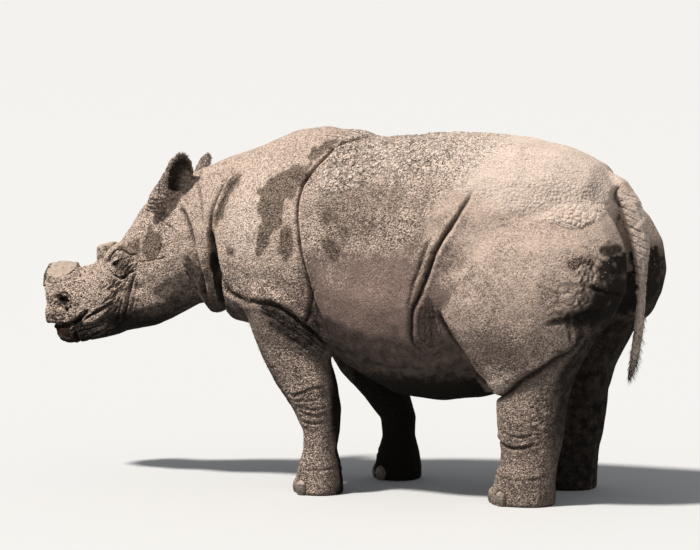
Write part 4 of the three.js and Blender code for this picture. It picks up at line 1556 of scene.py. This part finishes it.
def build_hair(skin):
    """Short stiff hair: a fringe on the ears, a tuft on the tail, bristles where no mud lies."""
    look = hair_material()
    places = map_of(skin.mesh)
    for name, (weight, way) in hair_fields(skin).items():
        count, shortest, longest, thick, most_mud, seed = HAIRS[name]
        chance = np.random.default_rng(seed)
        chosen = chance.choice(len(weight), count, p=weight / weight.sum())
        spread = chance.normal(0, STRAY, (count, 3))
        lengths = (shortest + (longest - shortest) * chance.random(count)) / 1000
        if name == "tail_hair":
            lengths *= 0.5 + 0.5 * step(0.75, 0.5, skin.z[chosen])
        muddy = chance.random(count) * most_mud * step(0.35, 0.7, skin.z[chosen])
        roots = skin.co[chosen] + SCATTER * chance.normal(0, 1, (count, 3))
        mesh = hairs(
            name, roots, way[chosen] + spread, lengths, thick / 1000, places[chosen], muddy)
        clothe(new_object(name, mesh), "hide", look)


def worn(node, voxel, times):
    """A CAD solid as a fine mesh, with its facets smoothed away."""
    mesh = voxelled(bpy.data.objects[node].data.copy(), voxel)
    return Skin(smooth(mesh, np.ones(len(mesh.vertices)), times))


# The way the worn end of each horn faces.
CAPS = {"horn_front": (-0.042, -0.587, 0.808), "horn_rear": (-0.24, -0.139, 0.961)}
HORN_VOXEL = 0.0025
NAIL_VOXEL = 0.0018


def build_horns():
    """Horns with a cracked surface, rough at the edge of their worn ends."""
    look = horn_material()
    for node, facing in CAPS.items():
        skin = worn(node, HORN_VOXEL, times=12)
        skin.lift += 0.003 * layered(skin.place, 0.02, 3, 5)
        edge = step(-1.065, -1.085, skin.x) if node == "horn_front" else 0 * skin.x
        first, second, _ = cells(skin.place, 0.012, 8)
        skin.lift -= (0.001 + 0.003 * edge) * step(0.3, 0.0, second - first)
        skin.settle()
        cap = step(0.9, 0.97, skin.no @ facing)
        attribute(skin.mesh, "rugged", 0.32 + 0.5 * edge - 0.3 * cap)
        clothe(new_object(node + "_worn", skin.mesh), "horn", look, node)


NAILS = [
    f"{foot}nail_{word}_{place}" for foot in ("fore", "hind") for word in SIDES
    for place in ("inner", "middle", "outer")
]
NAIL_RING = 0.011  # from one growth ring to the next


def build_nails():
    """Toenails with upright ridges, a few growth rings and a chipped lower edge."""
    look = nail_material()
    for n, node in enumerate(NAILS):
        skin = worn(node, NAIL_VOXEL, times=14)
        p, z = skin.place, skin.z
        ridges = layered(p * [1, 1, 0.12], 0.005, 2, n)
        rings = np.sin((z + 0.004 * noise(p, 0.03, n)) * 2 * math.pi / NAIL_RING)
        chips = step(0.016, 0.006, z) * step(0.1, 0.5, noise(p, 0.009, 50 + n))
        skin.lift += 0.0006 * ridges + 0.00035 * rings - 0.0016 * chips
        skin.settle()
        attribute(skin.mesh, "mud", step(0.03, 0.075, z + 0.02 * noise(p, 0.015, 70 + n)))
        clothe(new_object(node + "_worn", skin.mesh), "nail", look, node)


def paint_eyes():
    """Dark wet eyeballs."""
    look = Paint("eye").finish(EYEBALL, 0.12)
    for word in SIDES:
        mesh = bpy.data.objects[f"eye_{word}"].data
        mesh.materials.clear()
        mesh.materials.append(look)


FLOOR_REACH = 1500
FLOOR_SEEN = (0.74, 0.74, 0.74)
FLOOR_LIT = (0.3, 0.3, 0.3)


def build_stage():
    """A wide floor that looks paler than the light it throws back on the animal."""
    mesh = bpy.data.meshes.new("floor")
    r = FLOOR_REACH
    mesh.from_pydata([(-r, -r, 0), (r, -r, 0), (r, r, 0), (-r, r, 0)], [], [(0, 1, 2, 3)])
    floor = new_object("floor", mesh)
    paint = Paint("floor")
    seen = paint.put("LightPath").outputs["Is Camera Ray"]
    mesh.materials.append(paint.finish(paint.mix(seen, FLOOR_LIT, FLOOR_SEEN), 0.95))


SKY = (0.93, 0.96, 1.0)
SKY_STRENGTH = 0.28
SUN = (1.0, 0.965, 0.91)
SUN_STRENGTH = 3.7
SUN_WIDTH = 6  # degrees across
SUN_TURN = (31, 0, -42)  # degrees about each axis, from straight down


def radians(*angles):
    return [math.radians(angle) for angle in angles]


def build_light():
    """A sun from the front on the left, and a weak pale sky."""
    world = bpy.data.worlds.new("studio")
    bpy.context.scene.world = world
    world.use_nodes = True
    background = world.node_tree.nodes["Background"]
    background.inputs["Color"].default_value = (*SKY, 1)
    background.inputs["Strength"].default_value = SKY_STRENGTH
    lamp = bpy.data.lights.new("key", "SUN")
    lamp.energy = SUN_STRENGTH
    lamp.angle = math.radians(SUN_WIDTH)
    lamp.color = SUN
    key = new_object("key", lamp)
    key.rotation_euler = radians(*SUN_TURN)


CAMERA = (4.2, -11.243, 1.809)  # its x runs back from the withers
CAMERA_TURN = 20
CAMERA_FALL = 5
CAMERA_LENS = 171.3  # in mm
SENSOR_WIDTH = 36  # in mm
SIGHT = 4000  # beyond the far edge of the floor


def build_camera():
    camera = new_object("camera", bpy.data.cameras.new("camera"))
    camera.location = (CAMERA[0] + WITHERS, CAMERA[1], CAMERA[2])
    camera.rotation_euler = radians(90 - CAMERA_FALL, 0, CAMERA_TURN)
    camera.data.lens = CAMERA_LENS
    camera.data.sensor_width = SENSOR_WIDTH
    camera.data.clip_end = SIGHT
    bpy.context.scene.camera = camera


build_hair(build_skin())
build_horns()
build_nails()
paint_eyes()
build_stage()
build_light()
build_camera()
bpy.context.scene.view_settings.view_transform = "Standard"
